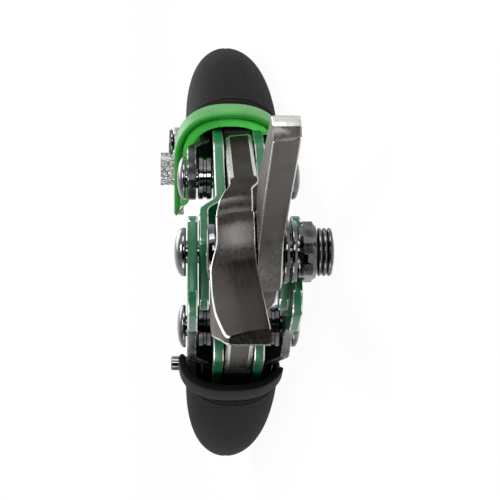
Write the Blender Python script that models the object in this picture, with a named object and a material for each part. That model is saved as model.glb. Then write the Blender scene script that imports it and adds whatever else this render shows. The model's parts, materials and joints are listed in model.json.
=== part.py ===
"""Compound-action bypass shears, lying on one side with the jaws open.

The tool frame has the main bolt at its origin, the jaws towards -Y, the handles
towards +Y, the upper handle towards +X and the bolt's nut towards -Z. Every piece
is drawn with the tool closed and then turned to the open pose about its own pivot.
"""

from math import asin, atan2, cos, hypot, pi, radians, sin, sqrt

import bmesh
import bpy

MM = 0.001

# Linkage: distances between the pivots and the opening of each jaw
TANG_LENGTH = 47.0 * MM
BOLT_TO_HANDLE_PIVOT = 12.5 * MM
JAW_OPENING = radians(14.0)
BOSS_RADIUS = 4.8 * MM
MIDLINE_GAP = 0.25 * MM

# Layers of the stack, measured from the middle plane of the tool
TANG_HALF_THICKNESS = 3.0 * MM
LAYER_GAP = 0.3 * MM
INNER_PLATE = 2.3 * MM
OUTER_PLATE = 2.0 * MM
SPACER_HEIGHT = 3.1 * MM
HANDLE_PLATE = 2.0 * MM
GRIP_LAYER = 6.0 * MM

# Jaws
BLADE_LENGTH = 64.0 * MM
BLADE_OVERLAP = 1.0 * MM
TIP_HEIGHT = 1.8 * MM
LOWER_TIP_SHOULDER = 2.3 * MM
UPPER_TIP_SHOULDER = 4.4 * MM
HEEL_HEIGHT = 10.2 * MM
HEEL_RISE = 0.9 * MM
SHEAR_PLANE = -1.65 * MM
SHEAR_GAP = 0.3 * MM
BLADE_RAKE = 0.052
LOWER_HUB_FACE = 5.9 * MM
LOWER_BLADE_FACE = 7.2 * MM
LOWER_TIP_FACE = 5.0 * MM
UPPER_HUB_FACE = 6.7 * MM
UPPER_BLADE_FACE = 6.7 * MM
UPPER_TIP_FACE = 6.4 * MM
LOWER_BEVEL = 2.6 * MM
UPPER_BEVEL = 1.2 * MM
EDGE_BREAK = 0.6 * MM
HUB_RADIUS = 8.0 * MM
NECK_INNER = 3.8 * MM
NECK_WIDTH = 6.6 * MM
TANG_WIDTH = 14.0 * MM
TANG_TAIL = 8.3 * MM

# Main bolt, washers and nut
BOLT_RADIUS = 3.2 * MM
BOLT_HEAD_RADIUS = 5.4 * MM
BOLT_HEAD_HEIGHT = 1.5 * MM
BOLT_END = 16.8 * MM
BORE_CLEARANCE = 0.3 * MM
OPEN_PIVOT_CLEARANCE = 0.6 * MM
WASHER_RADIUS = 6.2 * MM
WASHER_THICKNESS = 1.2 * MM
NUT_RADIUS = 6.2 * MM
NUT_HEIGHT = 3.3 * MM
LOCK_RING_RADIUS = 4.7 * MM
LOCK_RING_GROOVE = 0.4 * MM

# Rivets and spacers
RIVET_RADIUS = 2.3 * MM
RIVET_HEAD_RADIUS = 4.7 * MM
RIVET_HEAD_HEIGHT = 1.9 * MM
HANDLE_RIVET_HEAD_RADIUS = 4.9 * MM
HANDLE_RIVET_HEAD_HEIGHT = 2.4 * MM
SLEEVE_WALL = 0.5 * MM

# Handle plates
PLATE_FRONT = 5.0 * MM
LEVER_DROP = 12.0 * MM
PLATE_WIDTH_AT_RIVET = 13.0 * MM
OUTER_WIDTH_AT_RIVET = 10.2 * MM
CHEEK_UPPER_REACH = 7.0 * MM
CHEEK_LOWER_REACH = 14.0 * MM
PLATE_ARM_HALF_WIDTH = 4.0 * MM
OUTER_ARM_TRIM = 2.0 * MM
JOG_INTO_COLLAR = 2.0 * MM
PLATE_END = 80.0 * MM

# Grips
GRIP_START = 54.0 * MM
GRIP_END = 138.0 * MM
GRIP_CENTRE = 8.8 * MM
GRIP_BOW = 1.6 * MM
GRIP_HALF_HEIGHT = 8.2 * MM
GRIP_HALF_WIDTH = 10.7 * MM
GRIP_SHIFT = 0.8 * MM
GRIP_NOSE_HEIGHT = 52.0 * MM
GRIP_NOSE_WIDTH = 70.0 * MM
GRIP_SQUARENESS = 2.05
CAVITY_CLEARANCE = 0.3 * MM
CAVITY_END = 81.0 * MM
CAVITY_CORNER = 1.06
CAVITY_SQUARENESS = 8.0
CORE_GAP = 2.5 * MM

# Front collars of the grips
COLLAR_START = 45.0 * MM
COLLAR_CENTRE = (1.6 * MM, 5.4 * MM)
COLLAR_LEFT = 14.2 * MM
COLLAR_RIGHT = 11.6 * MM
COLLAR_TOP = 17.3 * MM
COLLAR_LIP = 1.4 * MM
COLLAR_GROOVE = 0.3 * MM
COLLAR_INNER_LIP = 1.0 * MM
COLLAR_RECESS = 1.8 * MM
COLLAR_LEG_DROP = 7.4 * MM
COLLAR_RIGHT_END = 11.6 * MM
COLLAR_SQUARENESS = 2.4
RIM_LEFT = 13.2 * MM
RIM_RIGHT = 10.9 * MM
RIM_WALL = 1.6 * MM
RIM_FOOT = 8.6 * MM

# Thumb latch on the upper grip and its keeper on the lower grip
LATCH_PIVOT = (6.5 * MM, 60.0 * MM)
LATCH_LENGTH = 13.0 * MM
LATCH_HALF_WIDTH = 3.4 * MM
LATCH_TURN = radians(25.0)
LATCH_BASE = 2.2 * MM
LATCH_PAD_HEIGHT = 3.2 * MM
LATCH_PAD_START = 3.4 * MM
LATCH_PAD_END = 9.6 * MM
LATCH_RIDGES = 5
LATCH_RIDGE_DEPTH = 0.6 * MM
LATCH_PIN_RADIUS = 1.7 * MM
LATCH_PIN_SINK = 1.7 * MM
LATCH_CAP = 1.0 * MM
LATCH_GAP = 0.5 * MM
KEEPER_HEIGHT = 3.0 * MM

ROUND_SEGMENTS = 28
GRIP_SEGMENTS = 28
SMOOTH_ANGLE = radians(32.0)
CUT_MARGIN = 2.0 * MM

# The linkage worked out from the driving sizes: closed and open angles of jaws and handles
RIVET_OFFSET = BOSS_RADIUS + MIDLINE_GAP
JAW_CLOSED = asin(RIVET_OFFSET / TANG_LENGTH)
JAW_OPEN = JAW_CLOSED + JAW_OPENING
RIVET_OPEN = (TANG_LENGTH * sin(JAW_OPEN), TANG_LENGTH * cos(JAW_OPEN))
HANDLE_ARM = hypot(RIVET_OPEN[0], RIVET_OPEN[1] - BOLT_TO_HANDLE_PIVOT)
HANDLE_OPEN = asin(RIVET_OPEN[0] / HANDLE_ARM)
HANDLE_CLOSED = asin(RIVET_OFFSET / HANDLE_ARM)
HANDLE_OPENING = HANDLE_OPEN - HANDLE_CLOSED
RIVET_ALONG_JAW = TANG_LENGTH * cos(JAW_CLOSED)
RIVET_ALONG_HANDLE = HANDLE_ARM * cos(HANDLE_CLOSED)
CORE_START = RIVET_ALONG_HANDLE + TANG_TAIL + CORE_GAP

# Heights of the layers, from the middle plane outwards
INNER_Z = TANG_HALF_THICKNESS + LAYER_GAP
SPACER_Z = INNER_Z + INNER_PLATE + LAYER_GAP
OUTER_Z = SPACER_Z + SPACER_HEIGHT + LAYER_GAP
OUTER_FACE = OUTER_Z + OUTER_PLATE
HANDLE_Z = OUTER_Z - LAYER_GAP - HANDLE_PLATE
RIVET_HEAD_Z = OUTER_FACE + LAYER_GAP
WASHER_Z = -UPPER_HUB_FACE - LAYER_GAP
NUT_Z = WASHER_Z - 2 * (WASHER_THICKNESS + LAYER_GAP)
LOCK_RING_Z = NUT_Z - NUT_HEIGHT - LAYER_GAP
GRIP_SIDE = GRIP_SHIFT + GRIP_HALF_WIDTH
LATCH_Z = max(GRIP_SIDE, OUTER_FACE) + LATCH_GAP
CAVITY_HALF_WIDTH = GRIP_LAYER + OUTER_PLATE + CAVITY_CLEARANCE
CAVITY_HALF_HEIGHT = PLATE_ARM_HALF_WIDTH + CAVITY_CLEARANCE

# The tool rests on the bolt's end and on both grips, part of the way along their rounded ends
REST_ON_NOSE = 0.55
REST_POINT = GRIP_END - REST_ON_NOSE * GRIP_NOSE_WIDTH
REST_REACH = BOLT_TO_HANDLE_PIVOT + REST_POINT * cos(HANDLE_OPENING) - GRIP_CENTRE * sin(HANDLE_OPENING)
REST_SIDE = GRIP_HALF_WIDTH * sqrt(1 - (1 - REST_ON_NOSE) ** 2) - GRIP_SHIFT
REST_TILT = atan2(BOLT_END - REST_SIDE, REST_REACH)

LIME = (0.06, 0.42, 0.07)
DARK_GREEN = (0.010, 0.125, 0.050)
GRIP_BLACK = (0.012, 0.012, 0.013)
PLATE_BLACK = (0.010, 0.010, 0.011)
GUNMETAL = (0.075, 0.070, 0.068)
BLACK_CHROME = (0.040, 0.042, 0.046)
GREY_STEEL = (0.30, 0.31, 0.31)


def clear_scene():
    """Empty the file before the tool is built."""
    for obj in list(bpy.data.objects):
        bpy.data.objects.remove(obj, do_unlink=True)


def finish_material(name, colour, roughness, metallic):
    """Give the named material, made on its first use."""
    material = bpy.data.materials.get(name)
    if material is None:
        material = bpy.data.materials.new(name)
        material.use_nodes = True
        shader = material.node_tree.nodes["Principled BSDF"]
        shader.inputs["Base Color"].default_value = (*colour, 1.0)
        shader.inputs["Roughness"].default_value = roughness
        shader.inputs["Metallic"].default_value = metallic
    return material


def lime_plastic():
    return finish_material("lime_plastic", LIME, 0.4, 0.0)


def green_paint():
    return finish_material("dark_green_paint", DARK_GREEN, 0.3, 0.0)


def grip_rubber():
    return finish_material("black_grip_rubber", GRIP_BLACK, 0.75, 0.0)


def black_plate():
    return finish_material("blackened_plate", PLATE_BLACK, 0.4, 0.6)


def blade_steel():
    return finish_material("gunmetal_blade_steel", GUNMETAL, 0.35, 1.0)


def black_chrome():
    return finish_material("black_chrome", BLACK_CHROME, 0.15, 1.0)


def latch_steel():
    return finish_material("grey_latch_steel", GREY_STEEL, 0.45, 1.0)


def empty(name, parent, location, turn=0.0):
    """A placement guide on a pivot, turned about the pivot's axis."""
    guide = bpy.data.objects.new(name, None)
    guide.empty_display_size = 5 * MM
    guide.location = location
    guide.rotation_euler = (0.0, 0.0, turn)
    guide.parent = parent
    bpy.context.scene.collection.objects.link(guide)
    return guide


def mesh_object(name, bm, material, parent, location):
    """Turn a bmesh into a named object with outward faces and smooth round sides."""
    bmesh.ops.recalc_face_normals(bm, faces=bm.faces)
    mesh = bpy.data.meshes.new(name)
    bm.to_mesh(mesh)
    bm.free()
    mesh.shade_smooth()
    mesh.set_sharp_from_angle(angle=SMOOTH_ANGLE)
    obj = bpy.data.objects.new(name, mesh)
    obj.location = location
    obj.parent = parent
    if material is not None:
        mesh.materials.append(material)
    bpy.context.scene.collection.objects.link(obj)
    return obj


def loft(name, rings, material, parent, location=(0.0, 0.0, 0.0)):
    """Skin equal rings of points from the first to the last and cap both ends."""
    bm = bmesh.new()
    loops = [[bm.verts.new(point) for point in ring] for ring in rings]
    for near, far in zip(loops, loops[1:]):
        count = len(near)
        for i in range(count):
            j = (i + 1) % count
            bm.faces.new((near[i], near[j], far[j], far[i]))
    bm.faces.new(loops[0])
    bm.faces.new(loops[-1])
    bmesh.ops.triangulate(bm, faces=bm.faces)
    return mesh_object(name, bm, material, parent, location)


def strip(name, stations, side, level, material, parent):
    """A bent plate from stations (y, x inner, x outer, z low, z high), mirrored by its signs."""
    rings = []
    for y, x_inner, x_outer, z_low, z_high in stations:
        corners = ((x_inner, z_low), (x_outer, z_low), (x_outer, z_high), (x_inner, z_high))
        rings.append([(side * x, y, level * z) for x, z in corners])
    return loft(name, rings, material, parent)


def prism(name, outline, low, high, material, parent, location=(0.0, 0.0, 0.0)):
    """A flat piece with the given outline between two heights."""
    rings = [[(x, y, z) for x, y in outline] for z in (low, high)]
    return loft(name, rings, material, parent, location)


def turned(name, profile, material, parent, location, segments=ROUND_SEGMENTS):
    """A piece turned about Z from a profile of (radius, z) points, first to last."""
    rings = []
    for radius, z in profile:
        ring = []
        for i in range(segments):
            angle = 2 * pi * (i + 0.5) / segments
            ring.append((radius * cos(angle), radius * sin(angle), z))
        rings.append(ring)
    return loft(name, rings, material, parent, location)


def tube(name, bore, radius, low, high, material, parent, location):
    """A plain ring or sleeve, closed on itself round its bore."""
    profile = ((bore, low), (radius, low), (radius, high), (bore, high))
    bm = bmesh.new()
    loops = []
    for reach, z in profile:
        loop = []
        for i in range(ROUND_SEGMENTS):
            angle = 2 * pi * i / ROUND_SEGMENTS
            loop.append(bm.verts.new((reach * cos(angle), reach * sin(angle), z)))
        loops.append(loop)
    for k, near in enumerate(loops):
        far = loops[(k + 1) % len(loops)]
        for i in range(ROUND_SEGMENTS):
            j = (i + 1) % ROUND_SEGMENTS
            bm.faces.new((near[i], near[j], far[j], far[i]))
    return mesh_object(name, bm, material, parent, location)


def cut(obj, cutter):
    """Take a hidden cutter out of an object."""
    cutter.hide_render = True
    cutter.display_type = "WIRE"
    modifier = obj.modifiers.new(cutter.name, "BOOLEAN")
    modifier.operation = "DIFFERENCE"
    modifier.solver = "EXACT"
    modifier.object = cutter


def bore(obj, centre, radius, low, high):
    """Drill a round hole along Z through an object, in its own frame."""
    profile = ((radius, low), (radius, high))
    place = (centre[0], centre[1], 0.0)
    count = len(obj.modifiers) + 1
    cutter = turned(f"{obj.name}_bore_{count}", profile, None, obj.parent, place)
    cutter.location = (place[0] + obj.location[0], place[1] + obj.location[1], obj.location[2])
    cut(obj, cutter)


def dome(radius, height, base, outward):
    """Profile of a rounded head that rises from base in the given direction."""
    steps = 5
    edge = 0.25 * height
    points = [(radius, base), (radius, base + outward * edge)]
    for i in range(1, steps):
        angle = 0.5 * pi * i / steps
        points.append((radius * cos(angle), base + outward * (edge + (height - edge) * sin(angle))))
    return points


def rivet(name, head_radius, head_height, parent, location):
    """A rivet with a domed head on each side of the stack."""
    top = dome(head_radius, head_height, RIVET_HEAD_Z, 1)
    bottom = dome(head_radius, head_height, -RIVET_HEAD_Z, -1)
    profile = top[::-1] + [(RIVET_RADIUS, RIVET_HEAD_Z), (RIVET_RADIUS, -RIVET_HEAD_Z)] + bottom
    return turned(name, profile, black_chrome(), parent, location)


def hub_chord(y):
    """Half the width of the round hub at a distance from its pivot."""
    return sqrt(max(HUB_RADIUS**2 - y * y, 0.0))


def jaw_rings(edge_side, shear, tip_face, blade_face, hub_face, shoulder, bevel):
    """Sections of one jaw from tip to tang, with the main bolt at the origin.

    edge_side is the X side of the cutting edge and of the tang. shear and the three
    faces are signed heights, so one function makes both jaws.
    """
    tang = TANG_HALF_THICKNESS if hub_face > shear else -TANG_HALF_THICKNESS
    edge = BLADE_OVERLAP
    swell = blade_face - tip_face
    outline = (
        (1.0, TIP_HEIGHT, 0.0, 0.5),
        (0.96, shoulder, 0.25, 0.7),
        (0.85, shoulder + 0.12 * HEEL_HEIGHT, 0.55, 0.8),
        (0.65, 0.5 * (shoulder + HEEL_HEIGHT), 0.9, 0.9),
        (0.4, 0.92 * HEEL_HEIGHT, 1.0, 1.0),
    )
    stations = []
    for share, height, fullness, ground in outline:
        face = tip_face + fullness * swell
        stations.append((-share * BLADE_LENGTH, -height, edge, shear, face, ground * bevel))
    middle = 0.5 * (blade_face + hub_face)
    stations += [
        (-1.5 * HUB_RADIUS, -HEEL_HEIGHT, edge + HEEL_RISE, shear, blade_face, bevel),
        (-HUB_RADIUS, -0.97 * HEEL_HEIGHT, 0.42 * HUB_RADIUS, shear, middle, 0.8 * bevel),
    ]
    for share, ground in ((-0.7, 0.7), (-0.3, 0.6), (0.0, 0.5), (0.35, 0.4), (0.7, 0.3)):
        y = share * HUB_RADIUS
        back = -max(hub_chord(y), 0.95 * HEEL_HEIGHT * max(-share, 0.0))
        front = hub_chord(y) if share > -0.5 else 0.66 * HUB_RADIUS
        stations.append((y, back, front, shear, hub_face, max(ground * bevel, EDGE_BREAK)))
    neck = NECK_INNER
    neck_outer = neck + NECK_WIDTH
    jog = hypot(HUB_RADIUS, neck)
    late = 0.88 * HUB_RADIUS
    step_in = hub_face - tang
    bend = 0.5 * (shear - tang)
    stations += [
        (late, -hub_chord(late), neck_outer - 1.4 * MM, shear, hub_face - 0.2 * step_in, EDGE_BREAK),
        (HUB_RADIUS + 0.4 * MM, neck, neck_outer - 0.6 * MM, shear, hub_face - 0.4 * step_in, EDGE_BREAK),
        (jog + 1.6 * MM, neck, neck_outer, shear, hub_face - 0.62 * step_in, EDGE_BREAK),
        (jog + 3.8 * MM, neck, neck_outer + 0.3 * MM, bend, hub_face - 0.86 * step_in, EDGE_BREAK),
        (jog + 6.0 * MM, neck, neck_outer + 0.6 * MM, -tang, tang, EDGE_BREAK),
        (jog + 8.5 * MM, MIDLINE_GAP, neck_outer + 0.9 * MM, -tang, tang, EDGE_BREAK),
        (0.66 * RIVET_ALONG_JAW, MIDLINE_GAP, 0.86 * TANG_WIDTH, -tang, tang, EDGE_BREAK),
        (RIVET_ALONG_JAW, MIDLINE_GAP, 0.97 * TANG_WIDTH, -tang, tang, EDGE_BREAK),
        (RIVET_ALONG_JAW + 0.65 * TANG_TAIL, MIDLINE_GAP, TANG_WIDTH, -tang, tang, EDGE_BREAK),
        (RIVET_ALONG_JAW + TANG_TAIL, 1.5 * MM, TANG_WIDTH - 1.2 * MM, -tang, tang, EDGE_BREAK),
    ]
    rings = []
    for y, x_back, x_edge, z_shear, z_face, drop in stations:
        ridge = z_shear + 0.55 * (z_face - z_shear)
        section = (
            (x_edge, z_shear),
            (x_edge - 0.3 * drop, ridge),
            (x_edge - drop, z_face),
            (x_back, z_face),
            (x_back, z_shear),
        )
        lift = BLADE_RAKE * max(-y - 1.5 * HUB_RADIUS, 0.0)
        rings.append([(edge_side * x + lift, y, z) for x, z in section])
    return rings


def jaw(name, edge_side, shear, faces, ground, pivot_bore, parent):
    """One jaw with its ground tip and bevel, hung on its handle by the rivet hole in its tang."""
    place = (-edge_side * RIVET_OFFSET, -RIVET_ALONG_JAW, 0.0)
    rings = jaw_rings(edge_side, shear, *faces, *ground)
    blade = loft(name, rings, blade_steel(), parent, place)
    reach = max(abs(face) for face in faces) + CUT_MARGIN
    bore(blade, (0.0, 0.0), pivot_bore, -reach, reach)
    bore(blade, (edge_side * RIVET_OFFSET, RIVET_ALONG_JAW), RIVET_RADIUS + BORE_CLEARANCE, -reach, reach)
    return blade


def build_main_bolt(parent):
    """The bolt that both jaws turn on, with its washers, nut and lock ring."""
    place = (-RIVET_OFFSET, -RIVET_ALONG_JAW, 0.0)
    head = LOWER_HUB_FACE + LAYER_GAP
    chamfer = 0.5 * MM
    profile = [
        (BOLT_HEAD_RADIUS - chamfer, head + BOLT_HEAD_HEIGHT),
        (BOLT_HEAD_RADIUS, head + BOLT_HEAD_HEIGHT - chamfer),
        (BOLT_HEAD_RADIUS, head),
        (BOLT_RADIUS, head),
        (BOLT_RADIUS, -BOLT_END + chamfer),
        (BOLT_RADIUS - chamfer, -BOLT_END),
    ]
    turned("main_bolt", profile, black_chrome(), parent, place)
    inner = BOLT_RADIUS + BORE_CLEARANCE
    for i, name in enumerate(("flat_washer", "spring_washer")):
        top = WASHER_Z - i * (WASHER_THICKNESS + LAYER_GAP)
        tube(name, inner, WASHER_RADIUS, top - WASHER_THICKNESS, top, black_chrome(), parent, place)
    nut = turned("main_nut", [(NUT_RADIUS, NUT_Z - NUT_HEIGHT), (NUT_RADIUS, NUT_Z)], black_chrome(),
                 parent, place, 6)
    bore(nut, (0.0, 0.0), inner, NUT_Z - NUT_HEIGHT - CUT_MARGIN, NUT_Z + CUT_MARGIN)
    build_lock_ring(inner, parent, place)


def build_lock_ring(inner, parent, place):
    """The grooved ring screwed up against the nut, level with the bolt's end."""
    length = LOCK_RING_Z + BOLT_END - LAYER_GAP
    grooves = 3
    pitch = length / grooves
    profile = []
    for i in range(grooves):
        top = LOCK_RING_Z - i * pitch
        profile.append((LOCK_RING_RADIUS - LOCK_RING_GROOVE, top))
        profile.append((LOCK_RING_RADIUS, top - 0.3 * pitch))
        profile.append((LOCK_RING_RADIUS, top - 0.7 * pitch))
    profile.append((LOCK_RING_RADIUS - LOCK_RING_GROOVE, LOCK_RING_Z - length))
    ring = turned("lock_ring", profile, black_chrome(), parent, place)
    bore(ring, (0.0, 0.0), inner, -BOLT_END - CUT_MARGIN, LOCK_RING_Z + CUT_MARGIN)


def arm_stations(width, z_front, z_grip, thickness, trim=0.0):
    """The stretch of a handle plate from its jaw rivet into the grip."""
    arm_in = GRIP_CENTRE - PLATE_ARM_HALF_WIDTH
    arm_out = GRIP_CENTRE + PLATE_ARM_HALF_WIDTH - trim
    boss_end = RIVET_ALONG_HANDLE + BOSS_RADIUS
    return [
        (RIVET_ALONG_HANDLE, MIDLINE_GAP, width, z_front, z_front + thickness),
        (boss_end, 0.3 * arm_in, arm_out, z_front, z_front + thickness),
        (COLLAR_START + JOG_INTO_COLLAR, arm_in, arm_out, z_grip, z_grip + thickness),
        (PLATE_END, arm_in, arm_out, z_grip, z_grip + thickness),
    ]


def outer_arm():
    """The stretch of an outer plate or cheek that bends inwards to enter the grip."""
    return arm_stations(OUTER_WIDTH_AT_RIVET, OUTER_Z, GRIP_LAYER, OUTER_PLATE, OUTER_ARM_TRIM)


def inner_arm():
    """The straight stretch of an inner plate from its jaw rivet into the grip."""
    return arm_stations(PLATE_WIDTH_AT_RIVET, INNER_Z, INNER_Z, INNER_PLATE)


def boss_front_stations(width, z_front, thickness):
    """The rounded front end of a plate that stops at the jaw rivet."""
    stations = []
    for share in (0.97, 0.8, 0.45):
        half = BOSS_RADIUS * sqrt(1 - share * share)
        y = RIVET_ALONG_HANDLE - share * BOSS_RADIUS
        outer = RIVET_OFFSET + half + (1 - share) * (width - RIVET_OFFSET - BOSS_RADIUS)
        stations.append((y, RIVET_OFFSET - half, outer, z_front, z_front + thickness))
    return stations


def pivot_end_stations(inner_reach, outer_reach, z, thickness):
    """The rounded front end of a plate that turns on the handle rivet."""
    stations = []
    for share in (1.0, 0.75, 0.35):
        trim = 1 - 0.28 * share**3
        y = -share * PLATE_FRONT
        stations.append((y, -inner_reach * trim, outer_reach * trim, z, z + thickness))
    return stations


def build_upper_plates(parent, level, tag):
    """Inner and outer plates on one side of the upper handle."""
    lever = pivot_end_stations(LEVER_DROP, PLATE_FRONT, HANDLE_Z, HANDLE_PLATE)
    jog_start = PLATE_FRONT + 1.0 * MM
    jog_end = jog_start + 5.0 * MM
    lever += [
        (jog_start, -0.7 * LEVER_DROP, 1.4 * PLATE_FRONT, HANDLE_Z, HANDLE_Z + HANDLE_PLATE),
        (jog_end, -0.4 * PLATE_FRONT, 1.7 * PLATE_FRONT, INNER_Z, INNER_Z + INNER_PLATE),
        (0.74 * RIVET_ALONG_HANDLE, MIDLINE_GAP, 2.2 * PLATE_FRONT, INNER_Z, INNER_Z + INNER_PLATE),
    ]
    lever += inner_arm()
    inner = strip(f"upper_inner_plate_{tag}", lever, 1, level, green_paint(), parent)
    outer_stations = boss_front_stations(OUTER_WIDTH_AT_RIVET, OUTER_Z, OUTER_PLATE) + outer_arm()
    outer = strip(f"upper_outer_plate_{tag}", outer_stations, 1, level, black_plate(), parent)
    reach = OUTER_FACE + CUT_MARGIN
    bore(inner, (0.0, 0.0), RIVET_RADIUS + BORE_CLEARANCE, -reach, reach)
    for plate in (inner, outer):
        bore(plate, (RIVET_OFFSET, RIVET_ALONG_HANDLE), RIVET_RADIUS + BORE_CLEARANCE, -reach, reach)


def build_lower_plates(parent, level, tag):
    """Inner plate and outer cheek on one side of the lower handle."""
    inner_stations = boss_front_stations(PLATE_WIDTH_AT_RIVET, INNER_Z, INNER_PLATE) + inner_arm()
    inner = strip(f"lower_inner_plate_{tag}", inner_stations, -1, level, green_paint(), parent)
    cheek_stations = pivot_end_stations(CHEEK_UPPER_REACH, CHEEK_LOWER_REACH, OUTER_Z, OUTER_PLATE)
    taper = 0.38 * RIVET_ALONG_HANDLE
    middle = 0.56 * RIVET_ALONG_HANDLE
    narrow = 0.74 * RIVET_ALONG_HANDLE
    cheek_stations += [
        (0.4 * PLATE_FRONT, -CHEEK_UPPER_REACH, CHEEK_LOWER_REACH, OUTER_Z, OUTER_FACE),
        (1.6 * PLATE_FRONT, -0.86 * CHEEK_UPPER_REACH, CHEEK_LOWER_REACH, OUTER_Z, OUTER_FACE),
        (taper, -0.5 * CHEEK_UPPER_REACH, 0.9 * CHEEK_LOWER_REACH, OUTER_Z, OUTER_FACE),
        (middle, -0.2 * CHEEK_UPPER_REACH, 1.04 * OUTER_WIDTH_AT_RIVET, OUTER_Z, OUTER_FACE),
        (narrow, MIDLINE_GAP, 0.98 * OUTER_WIDTH_AT_RIVET, OUTER_Z, OUTER_FACE),
    ]
    cheek_stations += outer_arm()
    cheek = strip(f"cheek_{tag}", cheek_stations, -1, level, green_paint(), parent)
    reach = OUTER_FACE + CUT_MARGIN
    bore(cheek, (0.0, 0.0), RIVET_RADIUS + BORE_CLEARANCE, -reach, reach)
    for plate in (inner, cheek):
        bore(plate, (-RIVET_OFFSET, RIVET_ALONG_HANDLE), RIVET_RADIUS + BORE_CLEARANCE, -reach, reach)


def build_spacer(name, parent, side, level):
    """The disc that holds a handle's inner and outer plates apart at the jaw rivet."""
    low, high = sorted((level * SPACER_Z, level * (SPACER_Z + SPACER_HEIGHT)))
    place = (side * RIVET_OFFSET, RIVET_ALONG_HANDLE, 0.0)
    tube(name, RIVET_RADIUS + BORE_CLEARANCE, RIVET_HEAD_RADIUS, low, high, black_chrome(), parent, place)


def grip_section(half_height, half_width, squareness, centre, y):
    """One rounded cross-section of a grip."""
    ring = []
    for i in range(GRIP_SEGMENTS):
        angle = 2 * pi * i / GRIP_SEGMENTS
        c, s = cos(angle), sin(angle)
        x = half_height * abs(c) ** (2 / squareness) * (1 if c >= 0 else -1)
        z = half_width * abs(s) ** (2 / squareness) * (1 if s >= 0 else -1)
        ring.append((centre + x, y, GRIP_SHIFT + z))
    return ring


def nose_share(distance, length):
    """How much of the full size is left at a distance from a rounded end."""
    if distance >= length:
        return 1.0
    return sqrt(max(1 - (1 - distance / length) ** 2, 0.0))


def grip_centre(y):
    """Distance of the grip's middle line from the midline of the closed tool."""
    share = (y - GRIP_START) / (GRIP_END - GRIP_START)
    return GRIP_CENTRE + GRIP_BOW * sin(pi * share)


def grip_rings(side):
    """The grip's skin, from the end of its cavity out of the mouth and back to its nose."""
    tall = CAVITY_CORNER * CAVITY_HALF_HEIGHT
    wide = CAVITY_CORNER * CAVITY_HALF_WIDTH
    rings = []
    for y in (CAVITY_END, GRIP_START):
        section = grip_section(tall, wide, CAVITY_SQUARENESS, GRIP_CENTRE, y)
        rings.append([(x, y, z - GRIP_SHIFT) for x, y, z in section])
    straight = 9
    nose = 8
    nose_start = GRIP_END - GRIP_NOSE_WIDTH
    stops = [GRIP_START + (nose_start - GRIP_START) * i / straight for i in range(straight + 1)]
    stops += [GRIP_END - GRIP_NOSE_WIDTH * cos(0.5 * pi * i / nose) for i in range(1, nose)]
    stops.append(GRIP_END - 0.1 * MM)
    for y in stops:
        tall = GRIP_HALF_HEIGHT * nose_share(GRIP_END - y, GRIP_NOSE_HEIGHT)
        wide = GRIP_HALF_WIDTH * nose_share(GRIP_END - y, GRIP_NOSE_WIDTH)
        rings.append(grip_section(tall, wide, GRIP_SQUARENESS, grip_centre(y), y))
    return [[(side * x, y, z) for x, y, z in ring] for ring in rings]


def build_grip(name, parent, side):
    """A moulded grip with the cavity that its plates are pushed into."""
    return loft(name, grip_rings(side), grip_rubber(), parent)


def build_core(name, parent, side):
    """The filler between the inner plates, which stops the grip from crushing."""
    low = GRIP_CENTRE - PLATE_ARM_HALF_WIDTH
    high = GRIP_CENTRE + PLATE_ARM_HALF_WIDTH
    stations = [(y, low, high, -TANG_HALF_THICKNESS, TANG_HALF_THICKNESS) for y in (CORE_START, PLATE_END)]
    return strip(name, stations, side, 1, black_plate(), parent)


def arch_curve(left, right, top, inset, foot):
    """One side of an arch in (z, x): from the foot of its left leg over the top to its right end."""
    middle = COLLAR_CENTRE[0]
    spring = max(COLLAR_CENTRE[1], foot)
    power = 2 / COLLAR_SQUARENESS
    rise = top - spring - inset
    stop = asin(min(1.0, ((COLLAR_RIGHT_END - spring) / rise) ** (1 / power)))
    steps = 22
    points = [(left - inset, foot)] if foot < spring else []
    for i in range(steps + 1):
        angle = (pi - stop) * i / steps
        reach = (left - middle - inset) if angle <= 0.5 * pi else (right + middle - inset)
        sign = 1 if angle <= 0.5 * pi else -1
        z = middle + sign * reach * abs(cos(angle)) ** power
        points.append((z, spring + rise * sin(angle) ** power))
    return points


def arch(name, limits, insets, feet, span, side, material, parent):
    """An arched lip round a grip's mouth, between two insets from its outer curve."""
    outer = arch_curve(*limits, insets[0], feet[0])
    inner = arch_curve(*limits, insets[1], feet[1])
    outline = outer + inner[::-1]
    rings = [[(side * x, y, z) for z, x in outline] for y in span]
    return loft(name, rings, material, parent)


def build_upper_collar(parent):
    """The bright arch at the mouth of the upper grip, with a long leg on the latch side."""
    limits = (COLLAR_LEFT, COLLAR_RIGHT, COLLAR_TOP)
    end = GRIP_START - LAYER_GAP
    inner = COLLAR_LIP + COLLAR_GROOVE
    foot = -COLLAR_LEG_DROP
    span = (COLLAR_START, end)
    arch("grip_collar", limits, (0.0, COLLAR_LIP), (foot, foot + COLLAR_LIP), span, 1, lime_plastic(), parent)
    insets = (inner, inner + COLLAR_INNER_LIP)
    feet = (foot + inner, foot + 2 * inner)
    span = (COLLAR_START + COLLAR_RECESS, end)
    arch("collar_liner", limits, insets, feet, span, 1, lime_plastic(), parent)


def build_lower_rim(parent):
    """The black lip at the mouth of the lower grip."""
    limits = (RIM_LEFT, RIM_RIGHT, COLLAR_TOP)
    feet = (RIM_FOOT, RIM_FOOT)
    span = (COLLAR_START, GRIP_START - LAYER_GAP)
    arch("lower_grip_rim", limits, (0.0, RIM_WALL), feet, span, -1, grip_rubber(), parent)


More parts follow.
